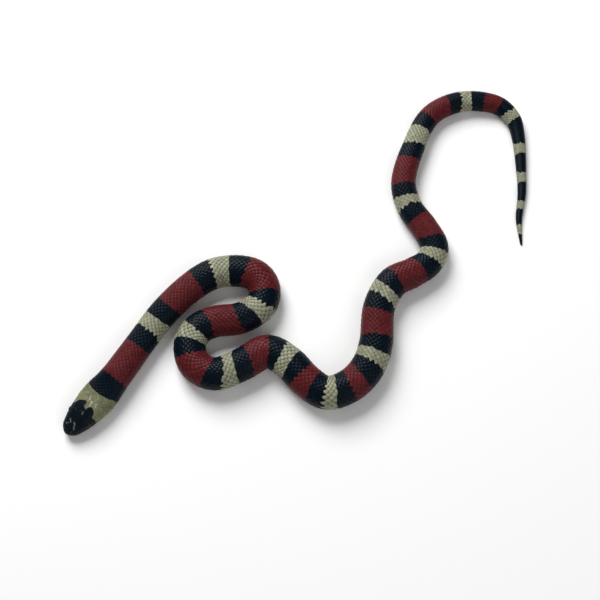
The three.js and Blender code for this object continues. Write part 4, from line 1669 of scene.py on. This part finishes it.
@dataclass
class Camera:
    """The photograph's view: steep, from the side of the head, with the whole animal in it."""

    target: tuple[float, float, float] = (-2.5, -25.0, 0.0)
    elevation: float = math.radians(72)
    distance: float = 560.0
    half_view: float = 162.0
    sensor: float = 36.0
    clip: tuple[float, float] = (0.01, 20.0)

    def build(self) -> None:
        """Makes the scene's camera."""
        data = bpy.data.cameras.new("camera")
        data.sensor_width = self.sensor
        data.lens = self.sensor / 2 * self.distance / self.half_view
        data.clip_start, data.clip_end = self.clip
        camera = link_object("camera", data)
        back = Vector((0, -math.cos(self.elevation), math.sin(self.elevation)))
        camera.location = (Vector(self.target) + back * self.distance) * MM
        camera.rotation_euler = (-back).to_track_quat("-Z", "Y").to_euler()
        bpy.context.scene.camera = camera


def main() -> None:
    """Builds the animal piece by piece, then the floor, the light and the camera."""
    logging.basicConfig(level=logging.INFO, format="%(name)s: %(message)s")
    Camera().build()
    body = Body()
    markings = Markings(body)
    scales = Scales(body, markings)
    LOG.info("body: %.1f mm long", body.length)
    scale_finish = ScaleFinish().build()
    # Bare skin is matt and dark, because it lies in the shade between the scales.
    skin_finish = ScaleFinish(name="bare_skin_between_scales", roughness=0.6, shade=0.35).build()
    # The large shields have no ridges, so they keep more gloss, spread into a broad sheen.
    shield_finish = ScaleFinish(name="polished_head_shield", roughness=0.36, gloss=0.15).build()
    # The scale over the eye is as clear and wet-looking as glass.
    eye_finish = ScaleFinish(
        name="clear_scale_over_eye",
        roughness=0.12,
        gloss=0.2,
        coat=0.08,
        coat_roughness=0.03,
        mottle=0.05,
        grain=0.0,
    ).build()
    skin = Skin(body, markings, scales).build()
    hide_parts(*[name for name in frame["nodes"] if not name.startswith("eye")])
    shields = HeadShields(body, markings).build()
    right_eye, left_eye = (Eye(body, side).build() for side in Side)
    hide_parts("eye_right")
    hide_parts("eye_left")
    coat = [*scales.build(), BellyPlates(body, markings, scales).build(), TailTip(body).build()]
    dressed = [(skin, skin_finish, "skin_body"), (shields, shield_finish, "skin_head")]
    dressed += [(eye, eye_finish, "eye") for eye in (right_eye, left_eye)]
    for part in coat:
        dressed.append((part, scale_finish, "skin_tail" if "tail" in part.name else "skin_body"))
    for piece, finish, slot in dressed:
        piece.data.materials.append(finish)
        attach(piece, "root")
        LOG.info("%s: %d faces", piece.name, len(piece.data.polygons))
    Studio().build()


if __name__ == "__main__":
    main()
